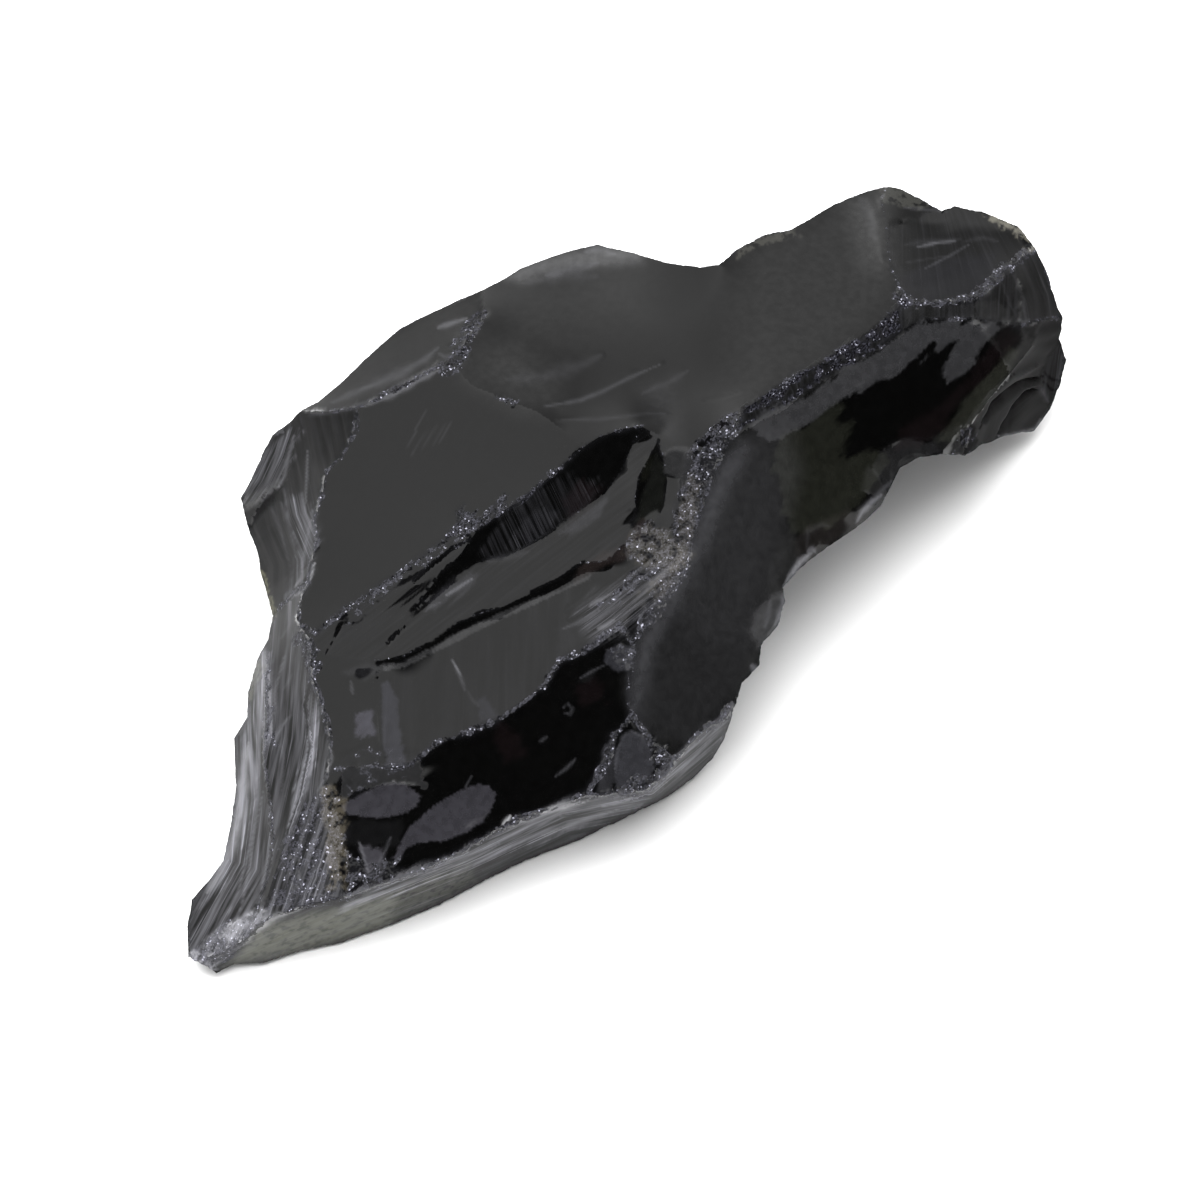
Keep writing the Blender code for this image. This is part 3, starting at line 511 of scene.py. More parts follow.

# Painted shade: fields whose mirror light is taken away to darken them: corners, soft edge mm,
# share of the mirror light that is lost
PAINTED_SHADE_FIELDS = [
    (CREST_STRIP, 0.3, 1.0),
    ([(1012, 372), (1034, 345), (1040, 320), (1065, 316), (1069, 359), (1053, 408),
      (1037, 430), (965, 455), (972, 425), (988, 398)], 0.5, 0.6),
    ([(978, 334), (1000, 318), (1022, 322), (1024, 340), (1016, 352), (1000, 368),
      (985, 365)], 0.6, 0.9),
    ([(1020, 322), (1065, 316), (1064, 348), (1050, 344), (1030, 336)], 0.8, 0.55),
    ([(950, 456), (958, 430), (972, 418), (982, 440), (972, 456)], 0.4, 0.9),
    ([(478, 530), (500, 513), (548, 478), (582, 448), (600, 436), (642, 427), (634, 442),
      (622, 470), (605, 494), (578, 512), (556, 529), (510, 556), (478, 562), (455, 577)],
     0.4, 0.9),
    ([(262, 520), (285, 540), (290, 575), (270, 590), (256, 560)], 1.0, 0.25),
    ([(238, 512), (250, 506), (264, 496), (284, 484), (274, 500), (260, 512), (250, 530),
      (242, 526)], 0.4, 0.65),
    ([(342, 752), (372, 742), (420, 750), (424, 790), (392, 780), (360, 796), (344, 806)],
     0.5, 0.1),
    ([(966, 300), (985, 292), (1000, 278), (1014, 268), (1024, 290), (1020, 324), (985, 324),
      (966, 316)], 0.5, 0.65),
    ([(844, 470), (862, 450), (884, 444), (900, 436), (938, 442), (944, 456), (920, 459),
      (900, 470), (889, 492), (880, 500), (866, 494), (850, 500)], 0.5, 0.7),
]

# Painted shade: dark lines and bands whose mirror light is taken away: points, half width mm,
# share of the mirror light that is lost
PAINTED_SHADE_LINES = [
    ([(1046, 375), (1030, 380), (1012, 390), (1000, 402), (990, 413), (980, 430)], 0.42, 1.0),
    ([(1044, 386), (1032, 392), (1022, 402), (1012, 416), (1004, 428), (998, 438)], 0.34, 1.0),
    ([(1046, 370), (1054, 378), (1066, 380)], 0.16, 1.0),
    ([(1046, 380), (1054, 388), (1064, 390)], 0.16, 1.0),
    ([(1016, 372), (1008, 378), (992, 394), (978, 412), (962, 432)], 0.36, 1.0),
]

# Skins of the breaks: guide line of their streaks (one point: they fan out from it), spacing
# mm, length mm and height mm of the streaks, their dust and the dullness of the skin
FLOWS = {
    "west hollow": ([(345, 420), (322, 470), (312, 520), (316, 545)], 0.55, 5.0, 0.050, 0.2, 0.9),
    "west low": ([(272, 470), (282, 520), (300, 560), (300, 600)], 0.45, 6.0, 0.060, 0.03, 1.0),
    "notch face": ([(290, 596), (280, 620), (272, 645)], 0.5, 3.0, 0.030, 0.4, 0.9),
    "steep wall": ([(268, 639), (266, 712), (270, 800), (262, 870),
                    (215, 955)], 0.5, 9.0, 0.060, 0.35, 0.9),
    "inner wall": ([(313, 675), (308, 740), (290, 830), (268, 900)], 0.6, 7.0, 0.050, 0.25, 0.9),
    "crushed foot": ([(324, 705), (315, 800), (285, 890)], 0.6, 3.0, 0.050, 0.3, 0.9),
    "strip": ([(218, 952), (345, 896), (462, 850), (560, 804), (649, 787),
               (734, 715)], 0.4, 6.0, 0.025, 0.2, 0.9),
    "slot face": ([(-1560, -3990)], 0.36, 9.0, 0.004, 0.0, 0.0),
    "blunt end": ([(965, 455), (985, 402), (1036, 352)], 0.5, 4.0, 0.050, 0.02, 1.0),
    "cheek": ([(1014, 264), (1030, 300), (1034, 325)], 0.6, 3.0, 0.030, 0.05, 0.95),
    "apron": ([(560, -2000)], 1.1, 9.0, 0.002, 0.01, 0.0),
    "low ledge": ([(540, 655), (690, 540)], 0.35, 3.0, 0.020, 0.015, 0.0),
    "flank low": ([(1000, 330), (900, 400), (820, 480)], 0.8, 7.0, 0.003, 0.0, 0.0),
    "dark band": ([(960, 1400)], 0.4, 2.0, 0.020, 0.04, 0.0),
    "end chip": ([(1053, 408), (1062, 338)], 0.5, 3.0, 0.040, 0.1, 1.0),
    "shell": ([(905, 60)], 0.6, 4.0, 0.004, 0.02, 0.0),
}

# Grey films, partly dust and weathered spots and partly painted sheen that stands for the mirror
# light of the breaks: corners, soft edge mm, ragged edge mm, sRGB colour they show
FILMS_AND_SHEENS = [
    # Painted highlight: the lighter rim along the upper outline, where the break rolls back
    ([(506, 276), (520, 266), (570, 250), (600, 243), (640, 250), (640, 260), (600, 264),
      (560, 267), (520, 280)], 1.6, 0.0, "#545455"),
    ([(734, 250), (765, 230), (830, 196), (886, 184), (892, 240), (906, 300), (850, 354),
      (770, 404), (742, 414), (734, 400)], 5.0, 0.0, "#292929"),
    ([(464, 336), (520, 350), (560, 385), (560, 410), (520, 410), (466, 380)], 3.0, 0.0,
     "#262626"),
    ([(490, 300), (570, 262), (650, 262), (640, 310), (560, 350), (500, 370)], 6.0, 0.0,
     "#1e1e1e"),
    ([(664, 454), (670, 448), (682, 446), (692, 450), (694, 464), (688, 492), (680, 490),
      (678, 478), (664, 474)], 0.35, 0.0, "#2c2c2d"),
    ([(318, 406), (365, 348), (400, 326), (440, 304), (486, 288), (472, 330), (447, 362),
      (405, 386), (340, 410)], 1.5, 0.0, "#1e1e1e"),
    ([(636, 520), (648, 480), (655, 452), (663, 470), (665, 505), (655, 522)], 0.4, 0.25,
     "#111210"),
    ([(640, 388), (672, 380), (680, 440), (664, 446), (652, 420)], 2.4, 0.0, "#242425"),
    ([(384, 664), (405, 662), (450, 637), (500, 613), (530, 600), (560, 590), (590, 575),
      (590, 579), (560, 593), (530, 607), (500, 620), (450, 645), (405, 667), (384, 671)],
     0.16, 0.05, "#313132"),
    ([(226, 966), (300, 952), (390, 926), (400, 894), (345, 906), (262, 926)],
     1.2, 0.0, "#5e5f57"),
    # Painted highlight: the light glow along the right edge of the great break
    ([(846, 200), (885, 188), (888, 240), (880, 268), (864, 262)], 3.0, 0.0, "#323232"),
    ([(345, 672), (370, 663), (386, 668), (366, 679)], 0.6, 0.1, "#1a1a1c"),
    ([(575, 582), (600, 566), (626, 560), (638, 540), (648, 522), (640, 518), (626, 546),
      (600, 556), (580, 568)], 0.5, 0.2, "#1c1716"),
    # Painted sheen: the grey of the flank in the next three films, over its own mirror light
    ([(634, 643), (648, 600), (690, 540), (705, 490), (735, 430), (790, 428), (800, 470),
      (780, 560), (760, 640), (738, 700), (690, 742), (645, 731), (628, 692)], 2.2, 0.0,
     "#242425"),
    ([(634, 650), (690, 545), (712, 485), (738, 440), (752, 448), (716, 520), (690, 570),
      (652, 650), (643, 725), (632, 712)], 1.6, 0.0, "#242426"),
    ([(690, 470), (760, 440), (780, 470), (770, 560), (745, 640), (700, 640), (672, 600)],
     3.5, 0.0, "#121213"),
    ([(750, 424), (765, 412), (800, 400), (836, 376), (846, 362), (880, 352), (905, 334),
      (925, 322), (960, 320), (1006, 326), (994, 338), (981, 357), (966, 374), (948, 384),
      (944, 374), (952, 352), (958, 340), (946, 348), (940, 352), (934, 343), (920, 358),
      (905, 371), (893, 376), (872, 386), (845, 400), (812, 422), (790, 434), (762, 442)],
     0.22, 0.32, "#353537"),
    ([(845, 400), (812, 422), (780, 436), (772, 470), (790, 530), (830, 530), (862, 500),
      (890, 462), (880, 450), (838, 460), (850, 436), (858, 420), (836, 428), (842, 408)],
     0.45, 0.30, "#1b1c17"),
    ([(1003, 358), (990, 374), (962, 401), (950, 424), (940, 442), (960, 440), (985, 412),
      (1012, 376), (1020, 350), (1012, 346)], 0.45, 0.30, "#22231e"),
    ([(1018, 330), (1040, 322), (1044, 350), (1012, 374), (1008, 352), (1020, 342)],
     0.5, 0.25, "#0c0c0c"),
    ([(900, 430), (925, 415), (950, 396), (970, 380), (996, 342), (1012, 328), (1020, 336),
      (1000, 362), (962, 402), (944, 432), (920, 446), (896, 448)], 0.6, 0.30, "#0b0607"),
    ([(880, 452), (905, 438), (936, 444), (943, 452), (920, 456), (900, 466), (888, 490),
      (872, 470)], 0.3, 0.15, "#1c1c1d"),
    ([(350, 800), (366, 792), (380, 784), (393, 780), (408, 784), (422, 795), (418, 804),
      (404, 813), (378, 817), (352, 814), (342, 806)], 0.20, 0.08, "#37363b"),
    ([(402, 842), (406, 832), (416, 822), (430, 808), (446, 797), (462, 789), (478, 783),
      (490, 784), (496, 793), (494, 804), (484, 820), (468, 831), (446, 839), (420, 841),
      (406, 847), (398, 862), (394, 856)], 0.14, 0.05, "#353439"),
    ([(616, 786), (614, 756), (622, 736), (632, 730), (644, 734), (652, 752), (654, 770),
      (640, 786)], 0.30, 0.06, "#333337"),
    ([(604, 745), (616, 735), (612, 790), (598, 790), (600, 770)], 0.30, 0.10, "#2a2a2d"),
    ([(604, 662), (606, 650), (620, 644), (634, 648), (634, 668), (618, 672)], 0.25, 0.12,
     "#28282c"),
    ([(578, 682), (590, 670), (600, 668), (590, 682)], 0.30, 0.10, "#0e0e0f"),
    ([(383, 684), (390, 680), (398, 702), (402, 738), (408, 764), (388, 766), (383, 730)],
     0.25, 0.15, "#24242a"),
    ([(478, 700), (486, 696), (500, 716), (494, 720), (480, 722)], 0.4, 0.15, "#1b1b20"),
    ([(356, 734), (357, 713), (372, 712), (377, 734)], 0.40, 0.25, "#393840"),
    ([(340, 818), (346, 845), (400, 846), (404, 820), (378, 820)], 0.5, 0.25, "#0c0c0d"),
    ([(362, 846), (384, 846), (382, 872), (368, 872)], 0.4, 0.15, "#3c3b40"),
    ([(428, 606), (444, 588), (466, 576), (478, 574), (470, 586), (450, 600), (436, 614)],
     0.5, 0.30, "#222225"),
    ([(560, 534), (590, 510), (606, 502), (600, 516), (574, 532)], 0.4, 0.3, "#242427"),
    ([(518, 538), (532, 512), (548, 508), (560, 512), (548, 532), (530, 546)], 0.6, 0.2,
     "#08080a"),
    ([(562, 500), (580, 482), (600, 484), (590, 506), (572, 520)], 0.8, 0.3, "#0c0607"),
    ([(905, 272), (948, 257), (996, 252), (992, 284), (962, 296), (908, 298), (898, 284)],
     0.9, 0.1, "#0a0a10"),
    ([(905, 303), (960, 304), (1000, 300), (1016, 318), (960, 318), (925, 319), (905, 328)],
     0.4, 0.15, "#1c1c1c"),
    ([(560, 655), (600, 630), (632, 612), (620, 604), (585, 612), (560, 632)], 0.8, 0.3,
     "#0c0c0e"),
    ([(655, 575), (676, 560), (640, 605), (590, 622), (600, 606)], 0.5, 0.3, "#101012"),
    ([(644, 458), (652, 455), (648, 480), (641, 482)], 0.4, 0.1, "#0c0d08"),
    ([(500, 722), (520, 736), (524, 752), (508, 760), (496, 742)], 0.7, 0.3, "#0a0506"),
    ([(575, 684), (600, 680), (604, 700), (580, 702)], 0.7, 0.3, "#0a0506"),
    ([(785, 588), (772, 594), (757, 610), (751, 632), (757, 648), (766, 646), (786, 622),
      (790, 600)], 0.8, 0.2, "#3c3c3d"),
    ([(799, 569), (794, 545), (806, 526), (826, 518), (848, 508), (864, 520), (855, 530),
      (832, 546)], 0.6, 0.3, "#1a1817"),
    ([(794, 530), (800, 560), (785, 590), (775, 600), (765, 590), (780, 540)], 1.2, 0.0,
     "#202020"),
    ([(856, 528), (858, 508), (884, 490), (892, 496), (880, 516)], 0.5, 0.2, "#2a2a2a"),
    ([(740, 705), (744, 680), (758, 664), (764, 650), (750, 655), (736, 690)], 0.8, 0.2,
     "#1c1c1c"),
    ([(192, 958), (204, 942), (225, 925), (250, 914), (268, 910), (268, 922), (240, 950),
      (212, 968)], 0.5, 0.3, "#68686c"),
    ([(262, 648), (272, 652), (275, 742), (266, 752), (262, 700)], 0.4, 0.2, "#3c3c40"),
]
FILM_SHARE = 0.36         # the stage light shows a matt colour this much lighter than it is

# Weathered rind and rusty crust: corners, soft edge mm, sRGB colour they show
RINDS = [
    ([(970, 204), (1000, 212), (1024, 224), (1040, 246), (1032, 250), (1010, 228), (980, 214)],
     0.30, "#78756a"),
    ([(256, 566), (262, 572), (272, 598), (276, 616), (268, 620), (260, 592)], 0.25, "#6c6a56"),
    ([(244, 690), (250, 668), (258, 656), (262, 664), (254, 690), (250, 704)], 0.3, "#5c5c52"),
    ([(322, 786), (336, 784), (346, 800), (348, 850), (346, 888), (332, 886), (326, 830)], 0.4,
     "#4c473d"),
    ([(626, 552), (632, 534), (648, 524), (664, 532), (680, 546), (692, 556), (676, 572),
      (652, 566), (636, 562)], 0.8, "#39362f"),
    ([(676, 560), (680, 505), (690, 476), (700, 480), (694, 530), (684, 565)], 0.5, "#34312b"),
    ([(640, 590), (670, 565), (684, 560), (664, 598)], 0.6, "#34312b"),
    ([(880, 184), (902, 185), (930, 203), (905, 206), (884, 200)], 0.4, "#3c3c38"),
    ([(735, 262), (742, 246), (790, 228), (800, 234), (760, 246)], 0.3, "#3c3b36"),
    ([(232, 962), (300, 948), (400, 920), (480, 882), (470, 862), (345, 905), (262, 925)], 0.9,
     "#44453c"),
    ([(188, 958), (204, 940), (225, 922), (250, 912), (268, 908), (270, 922), (240, 948),
      (212, 970)], 0.4, "#505053"),
    ([(222, 930), (232, 920), (242, 922), (240, 932), (228, 938)], 0.15, "#86868a"),
    ([(246, 916), (256, 908), (268, 912), (260, 922), (250, 924)], 0.15, "#78787c"),
    ([(188, 952), (196, 946), (204, 954), (200, 962), (192, 962)], 0.15, "#86868a"),
    ([(204, 962), (214, 958), (218, 968), (210, 974)], 0.15, "#78787c"),
]

# Shares of the spacing: between points on the ridges, and from the ridges to the other points
LINE_SHARE, RIDGE_CLEARANCE = 0.8, 0.62

# Lengths in millimetres
RIDGE_STEP = 0.2          # between the points of the upper ridges that the crush is measured from
UNDER_STEP = 0.3          # the same, on the underside
RIM_STEP = 0.25           # between the points of the edge of a drawn field
RAG_LENGTH, RAG_WIDTH = 2.0, 0.33  # tongues of the ragged edge of a field
CRUSHED_RAG, SKIN_RAG, SHADE_RAG, RIND_RAG = 0.4, 0.3, 0.2, 0.3  # raggedness of the fields
WAVER = 0.8               # along a stroke, over which its width wavers
CRUSH_SWELL, CRUSH_FADE = 1.6, 3.0  # along a ridge, over which its crush widens and fades
STRAY = 0.6               # along a ridge, over which it strays
RIPPLE_BEND, RIPPLE_FADE = 3.0, 5.0  # over which ripples bend and fade
SWELL = 7.0               # across a low swell of the breaks
CRUMB, GRIT = 0.55, 0.02  # across a crumb and a grain of grit
UNDER_CRUSH = 0.28        # half width of the crushed ridges of the underside
UNDER_STREAKS = (0.8, 6.0, 0.05)  # spacing, length and height
TABLE_GAP = 0.3           # up to this height the stone keeps its exact form

# Limits and shares
UNDER_DUST = 0.12         # strength of the streaks of the underside
# The mirror light that the crumbs lose is painted shade, for the shadows between them
CRUMB_SHADE = 0.6          # share of the mirror light that the crumbs lose
FLAT_CRUSH = 0.35         # triangles that are more crushed than this are flat splinters
SHARP_ANGLE = math.radians(32)  # edges between triangles that are steeper than this are sharp
SLICE = 4000              # points that are set against a whole line at once
MOST_STEPS, LEAST_REST = 4000, 1e-7  # the stretched breaks are settled after these

# Seeds of the noises; the tables of fields count on from theirs, row by row
SEED = {"crushed fields": 0, "grit": 3, "ripple bend": 5, "under way": 5, "waver": 7,
        "ripple fade": 9, "crush swell": 11, "under crush": 13, "crush fade": 17, "crumbs": 20,
        "stray x": 31, "films": 40, "stray y": 47, "streaks": 61, "under streaks": 67,
        "swell": 71, "rinds": 80, "skins": 120, "combed": 160, "painted shade": 180}

# Textures: repeats per millimetre, and repeats per unit of flow across and along it
SPLINTERS, CLUMPS = 8.5, 1.5
BANDS, HAIRS = (2.6, 0.15, 0.0), (6.5, 0.10, 0.0)
STREAK_FLOW = 0.5         # units of flow across one streak of a break
COMB_FLOW = 1.3           # units of flow per millimetre across the combed parts
SPLINTER_TILT, STREAK_DEPTH = 0.4, 0.00008  # of the bumps

# Dark cards of the dome: tilt right and up of the faces that mirror them to the camera, angle
# from the middle to their outer and inner edge in degrees, and the brightness inside
CARDS = [
    ((0.0, 0.0), 40.0, 33.0, 0.0),
    ((52.0, 20.0), 34.0, 24.0, 0.15),
    ((27.0, 50.0), 34.0, 18.0, 0.40),
    ((28.0, 2.0), 32.0, 26.0, 0.0),
]

# Soft lights: name, place in metres across, away from the camera and up, share of the power
SOFTBOXES = [
    ("softbox above", (-0.05, -0.10, 1.20), 1.2),
    ("softbox left", (-0.40, -0.30, 1.10), 1.2),
    ("softbox right", (0.30, -0.45, 1.05), 0.6),
]
TABLE_REACH = 2.5         # m, from the middle of the table to its edge
SENSOR_WIDTH = 36.0       # mm
HALF_STONE = 0.012        # m, from the table to the middle of the stone, towards the camera


def drawn(point):
    """Millimetres across and up the drawing of a point given in drawing squares."""
    return ((point[0] - DRAWING_CENTRE) * SQUARE, (DRAWING_CENTRE - point[1]) * SQUARE)


def linear(code):
    """Linear RGB of an sRGB hex colour, by the sRGB curve."""
    parts = [int(code[i:i + 2], 16) / 255 for i in (1, 3, 5)]
    return tuple(p / 12.92 if p <= 0.04045 else ((p + 0.055) / 1.055) ** 2.4 for p in parts)


def opaque(code):
    """Linear RGBA of an sRGB hex colour."""
    return linear(code) + (1.0,)


def hashed(cells_x, cells_y, seed):
    """Fixed pseudo-random value from 0 to 1 for every whole-number cell."""
    mixed = np.sin(cells_x * 127.1 + cells_y * 311.7 + seed * 74.7) * 43758.5453
    return mixed - np.floor(mixed)


def noise(x, y, seed):
    """Smooth value noise from -1 to 1: hashed corners blended by 3t^2 - 2t^3."""
    cell_x, cell_y = np.floor(x), np.floor(y)
    u, v = x - cell_x, y - cell_y
    u, v = u * u * (3 - 2 * u), v * v * (3 - 2 * v)
    low = hashed(cell_x, cell_y, seed) * (1 - u) + hashed(cell_x + 1, cell_y, seed) * u
    high = hashed(cell_x, cell_y + 1, seed) * (1 - u) + hashed(cell_x + 1, cell_y + 1, seed) * u
    return 2 * (low * (1 - v) + high * v) - 1


def layered(x, y, seed, layers):
    """Sum of noise layers, each twice as fine and half as high as the last."""
    return sum(noise(x * 2 ** k, y * 2 ** k, seed + k) / 2 ** k for k in range(layers))


def known_heights(*ridge_groups):
    """Heights given anywhere on the ridges, by the point's place in the drawing."""
    heights = {}
    for ridge in ridge_groups:
        heights.update({point[:2]: point[2] for point in ridge if len(point) == 3})
    return heights


def divided(ridge, heights, spacing):
    """Ridge as (x, y, height or NaN) rows in mm: evenly spaced points on its straight runs."""
    corners = np.array([drawn(p) + (heights.get(p[:2], math.nan),) for p in ridge])
    steps = np.linalg.norm(np.diff(corners[:, :2], axis=0), axis=1) / spacing
    parts = [a + (b - a) * np.linspace(0, 1, max(1, round(n)), endpoint=False)[:, None]
             for a, b, n in zip(corners, corners[1:], steps)]
    return np.concatenate(parts + [corners[-1:]])


def sliced(points):
    """Points in slices that are small enough to set against a whole line at once."""
    return np.array_split(points, max(1, len(points) // SLICE))


def nearest(points, line):
    """Distance of every point to the closest point of a line."""
    return np.concatenate([np.sqrt(((part[:, None] - line[None]) ** 2).sum(axis=2).min(axis=1))
                           for part in sliced(points)])


def inside(points, loop):
    """Which points lie inside a closed loop, by counting crossings."""
    x0, y0 = loop[:, 0], loop[:, 1]
    x1, y1 = np.roll(x0, -1), np.roll(y0, -1)
    rise = np.where(y1 == y0, 1.0, y1 - y0)
    slices = []
    for part in sliced(points):
        x, y = part[:, 0:1], part[:, 1:2]
        spans = (y0 > y) != (y1 > y)
        crossed = spans & (x < x0 + (y - y0) * (x1 - x0) / rise)
        slices.append(crossed.sum(axis=1) % 2 == 1)
    return np.concatenate(slices)


def around(points, line, margin):
    """Which points lie in the box around a line, made wider by the margin."""
    return ((points > line.min(axis=0) - margin)
            & (points < line.max(axis=0) + margin)).all(axis=1)


def smooth(value, start, end):
    """Rises from 0 at start to 1 at end by 3t^2 - 2t^3."""
    t = np.clip((value - start) / (end - start), 0, 1)
    return t * t * (3 - 2 * t)


def field(points, corners, soft, ragged, seed):
    """1 inside a drawn field and 0 outside: smooth step of the distance to its edge, which is
    made ragged by a layered noise, over the soft width."""
    loop = np.array([drawn(corner) for corner in corners])
    near = around(points, loop, soft + ragged)
    amount = np.zeros(len(points))
    part = points[near]
    if len(part):
        rim = divided(list(corners) + [corners[0]], {}, RIM_STEP)[:, :2]
        gap = nearest(part, rim) * np.where(inside(part, loop), 1.0, -1.0)
        rising = (part[:, 0] + part[:, 1]) * math.sqrt(0.5)
        falling = (part[:, 0] - part[:, 1]) * math.sqrt(0.5)
        gap += ragged * layered(rising / RAG_LENGTH, falling / RAG_WIDTH, seed, 3)
        amount[near] = smooth(gap, -soft / 2, soft / 2)
    return amount


def highest(points, fields, ragged, seed):
    """Highest of strength times field at every point, for rows of corners, soft and strength."""
    amount = np.zeros(len(points))
    for row, (corners, soft, strength) in enumerate(fields):
        amount = np.maximum(amount, strength * field(points, corners, soft, ragged, seed + row))
    return amount


def along(points, guide, endless=False):
    """Distance across a guide line, signed to its left, and length along it, in mm, where an
    endless guide runs on past both ends; for a single point the arc at its nearest distance
    and the distance from it."""
    line = np.array([drawn(point) for point in guide])
    if len(line) == 1:
        away = points - line[0]
        radius = np.hypot(away[:, 0], away[:, 1])
        return np.arctan2(away[:, 1], away[:, 0]) * radius.mean(), radius
    best = np.full(len(points), np.inf)
    across, length = np.zeros(len(points)), np.zeros(len(points))
    travelled = 0.0
    for a, b in zip(line, line[1:]):
        way = b - a
        size = np.hypot(*way)
        first = -math.inf if endless and (a == line[0]).all() else 0.0
        last = math.inf if endless and (b == line[-1]).all() else 1.0
        share = np.clip((points - a) @ way / size ** 2, first, last)
        away = points - a - share[:, None] * way
        gap = np.hypot(away[:, 0], away[:, 1])
        side = np.where(way[0] * away[:, 1] - way[1] * away[:, 0] > 0, 1.0, -1.0)
        closer = gap < best
        best = np.where(closer, gap, best)
        across = np.where(closer, gap * side, across)
        length = np.where(closer, travelled + share * size, length)
        travelled += size
    return across, length


def stroke(points, guide, width):
    """1 along a drawn line and 0 away from it: exp(-(distance / width)^2), where the width
    wavers with a noise and thins to nothing at both ends by the root of a sine."""
    line = np.array([drawn(point) for point in guide])
    near = around(points, line, 3 * width)
    amount = np.zeros(len(points))
    across, far = along(points[near], guide)
    share = far / np.hypot(*np.diff(line, axis=0).T).sum()
    waver = 1.0 + 0.45 * noise(far / WAVER, far * 0.0 + line[0, 0], SEED["waver"])
    size = width * waver * np.sqrt(np.clip(np.sin(math.pi * share), 0.0, 1.0)) + 1e-3
    amount[near] = np.exp(-(across / size) ** 2)
    return amount


def crushed(points, lines):
    """How crushed the stone is along its ridges: the highest of strength times
    exp(-(distance / width)^2), where layered noises swell the width and fade the strength."""
    amount = np.zeros(len(points))
    x, y = points[:, 0], points[:, 1]
    swell = 1.0 + 0.55 * layered(x / CRUSH_SWELL, y / CRUSH_SWELL, SEED["crush swell"], 3)
    fade = np.clip(0.75 + 0.6 * noise(x / CRUSH_FADE, y / CRUSH_FADE, SEED["crush fade"]),
                   0.15, 1.0)
    for name, (width, strength) in CRUSHED.items():
        gap = nearest(points, lines[name])
        amount = np.maximum(amount, strength * fade * np.exp(-(gap / (width * swell)) ** 2))
    return amount


def strayed(points, lines, wander):
    """Points of the drawing moved by wander times crush times a layered noise vector."""
    x, y = points[:, 0] / STRAY, points[:, 1] / STRAY
    way = np.stack([layered(x, y, SEED[axis], 3) for axis in ("stray x", "stray y")], axis=1)
    return points + wander * crushed(points, lines)[:, None] * way


def scattered(loop, lines, spacing):
    """Triangular lattice inside the loop, without the points too near to a ridge line."""
    low, high = loop.min(axis=0), loop.max(axis=0)
    rows = np.arange(low[1], high[1], spacing * math.sqrt(0.75))
    columns = np.arange(low[0], high[0], spacing)
    x, y = np.meshgrid(columns, rows)
    x = x + 0.5 * spacing * (np.arange(len(rows)) % 2)[:, None]
    points = np.stack([x.ravel(), y.ravel()], axis=1)
    fine = 0.25 * spacing
    reach = int(RIDGE_CLEARANCE * spacing / fine) + 1
    taken = np.zeros(np.ceil((high - low) / fine).astype(int) + 2 * reach + 2, bool)
    cells = np.floor((lines - low) / fine).astype(int) + reach
    for shift_x in range(-reach, reach + 1):
        for shift_y in range(-reach, reach + 1):
            if math.hypot(shift_x, shift_y) * fine <= RIDGE_CLEARANCE * spacing:
                taken[cells[:, 0] + shift_x, cells[:, 1] + shift_y] = True
    cells = np.floor((points - low) / fine).astype(int) + reach
    points = points[~taken[cells[:, 0], cells[:, 1]]]
    return points[inside(points, loop)]


def surface(rows, triangles):
    """Area of every triangle in the drawing, positive where it is wound anticlockwise."""
    a, b, c = (rows[triangles[:, i], :2] for i in range(3))
    ab, ac = b - a, c - a
    return 0.5 * (ab[:, 0] * ac[:, 1] - ab[:, 1] * ac[:, 0])


def sheet(ridges, border, border_heights, spacing, line_spacing, stray):
    """Height function of one side on its points: lattice and ridge lines joined by triangles."""
    heights = dict(border_heights)
    heights.update(known_heights(*ridges.values()))
    index = {(round(x, 4), round(y, 4)): i for i, (x, y, _) in enumerate(border.tolist())}
    rows = border.tolist()
    edges = [(i, (i + 1) % len(border)) for i in range(len(border))]
    for ridge in ridges.values():
        keys = []
        for x, y, z in divided(ridge, heights, line_spacing).tolist():
            key = (round(x, 4), round(y, 4))
            if key not in index:
                index[key] = len(rows)
                rows.append((x, y, z))
            keys.append(index[key])
        edges += list(zip(keys, keys[1:]))
    rows = np.array(rows)
    rows[:, :2] = stray(rows[:, :2])
    border = rows[:len(border)]
    filling = scattered(border[:, :2], rows[:, :2], spacing)
    rows = np.concatenate([rows, np.column_stack([filling, np.full(len(filling), math.nan)])])
    flat = [Vector(row) for row in rows[:, :2].tolist()]
    places, _, triangles, origins = delaunay_2d_cdt(flat, edges, [], 0, 1e-6, True)[:4]
    if len(places) != len(rows) or any(len(origin) != 1 for origin in origins):
        crossings = [tuple(p) for p, o in zip(places, origins) if len(o) != 1]
        raise RuntimeError(f"two ridges cross or touch away from a shared point: {crossings[:5]}")
    triangles = np.array([origin[0] for origin in origins])[np.array(triangles)]
    kept = inside(rows[triangles][:, :, :2].mean(axis=1), border[:, :2])
    kept &= np.abs(surface(rows, triangles)) > LEAST_AREA
    return rows, triangles[kept], np.sort(np.array(edges), axis=1)


def spread(triangles, walls, count, seeds):
    """Break number of every triangle (-1 outside all): each seed's number flows across every
    edge that is not a ridge until nothing changes."""
    sides = np.sort(np.concatenate([triangles[:, [0, 1]], triangles[:, [1, 2]],
                                    triangles[:, [2, 0]]]), axis=1)
    owner = np.tile(np.arange(len(triangles)), 3)
    code = sides[:, 0] * count + sides[:, 1]
    order = np.argsort(code, kind="stable")
    code, owner = code[order], owner[order]
    twin = (code[1:] == code[:-1]) & ~np.isin(code[1:], walls[:, 0] * count + walls[:, 1])
    left, right = owner[:-1][twin], owner[1:][twin]
    number = np.full(len(triangles), -1)
    number[seeds] = np.arange(len(seeds))
    while True:
        before = number.copy()
        np.maximum.at(number, left, before[right])
        np.maximum.at(number, right, before[left])
        if (number == before).all():
            return number


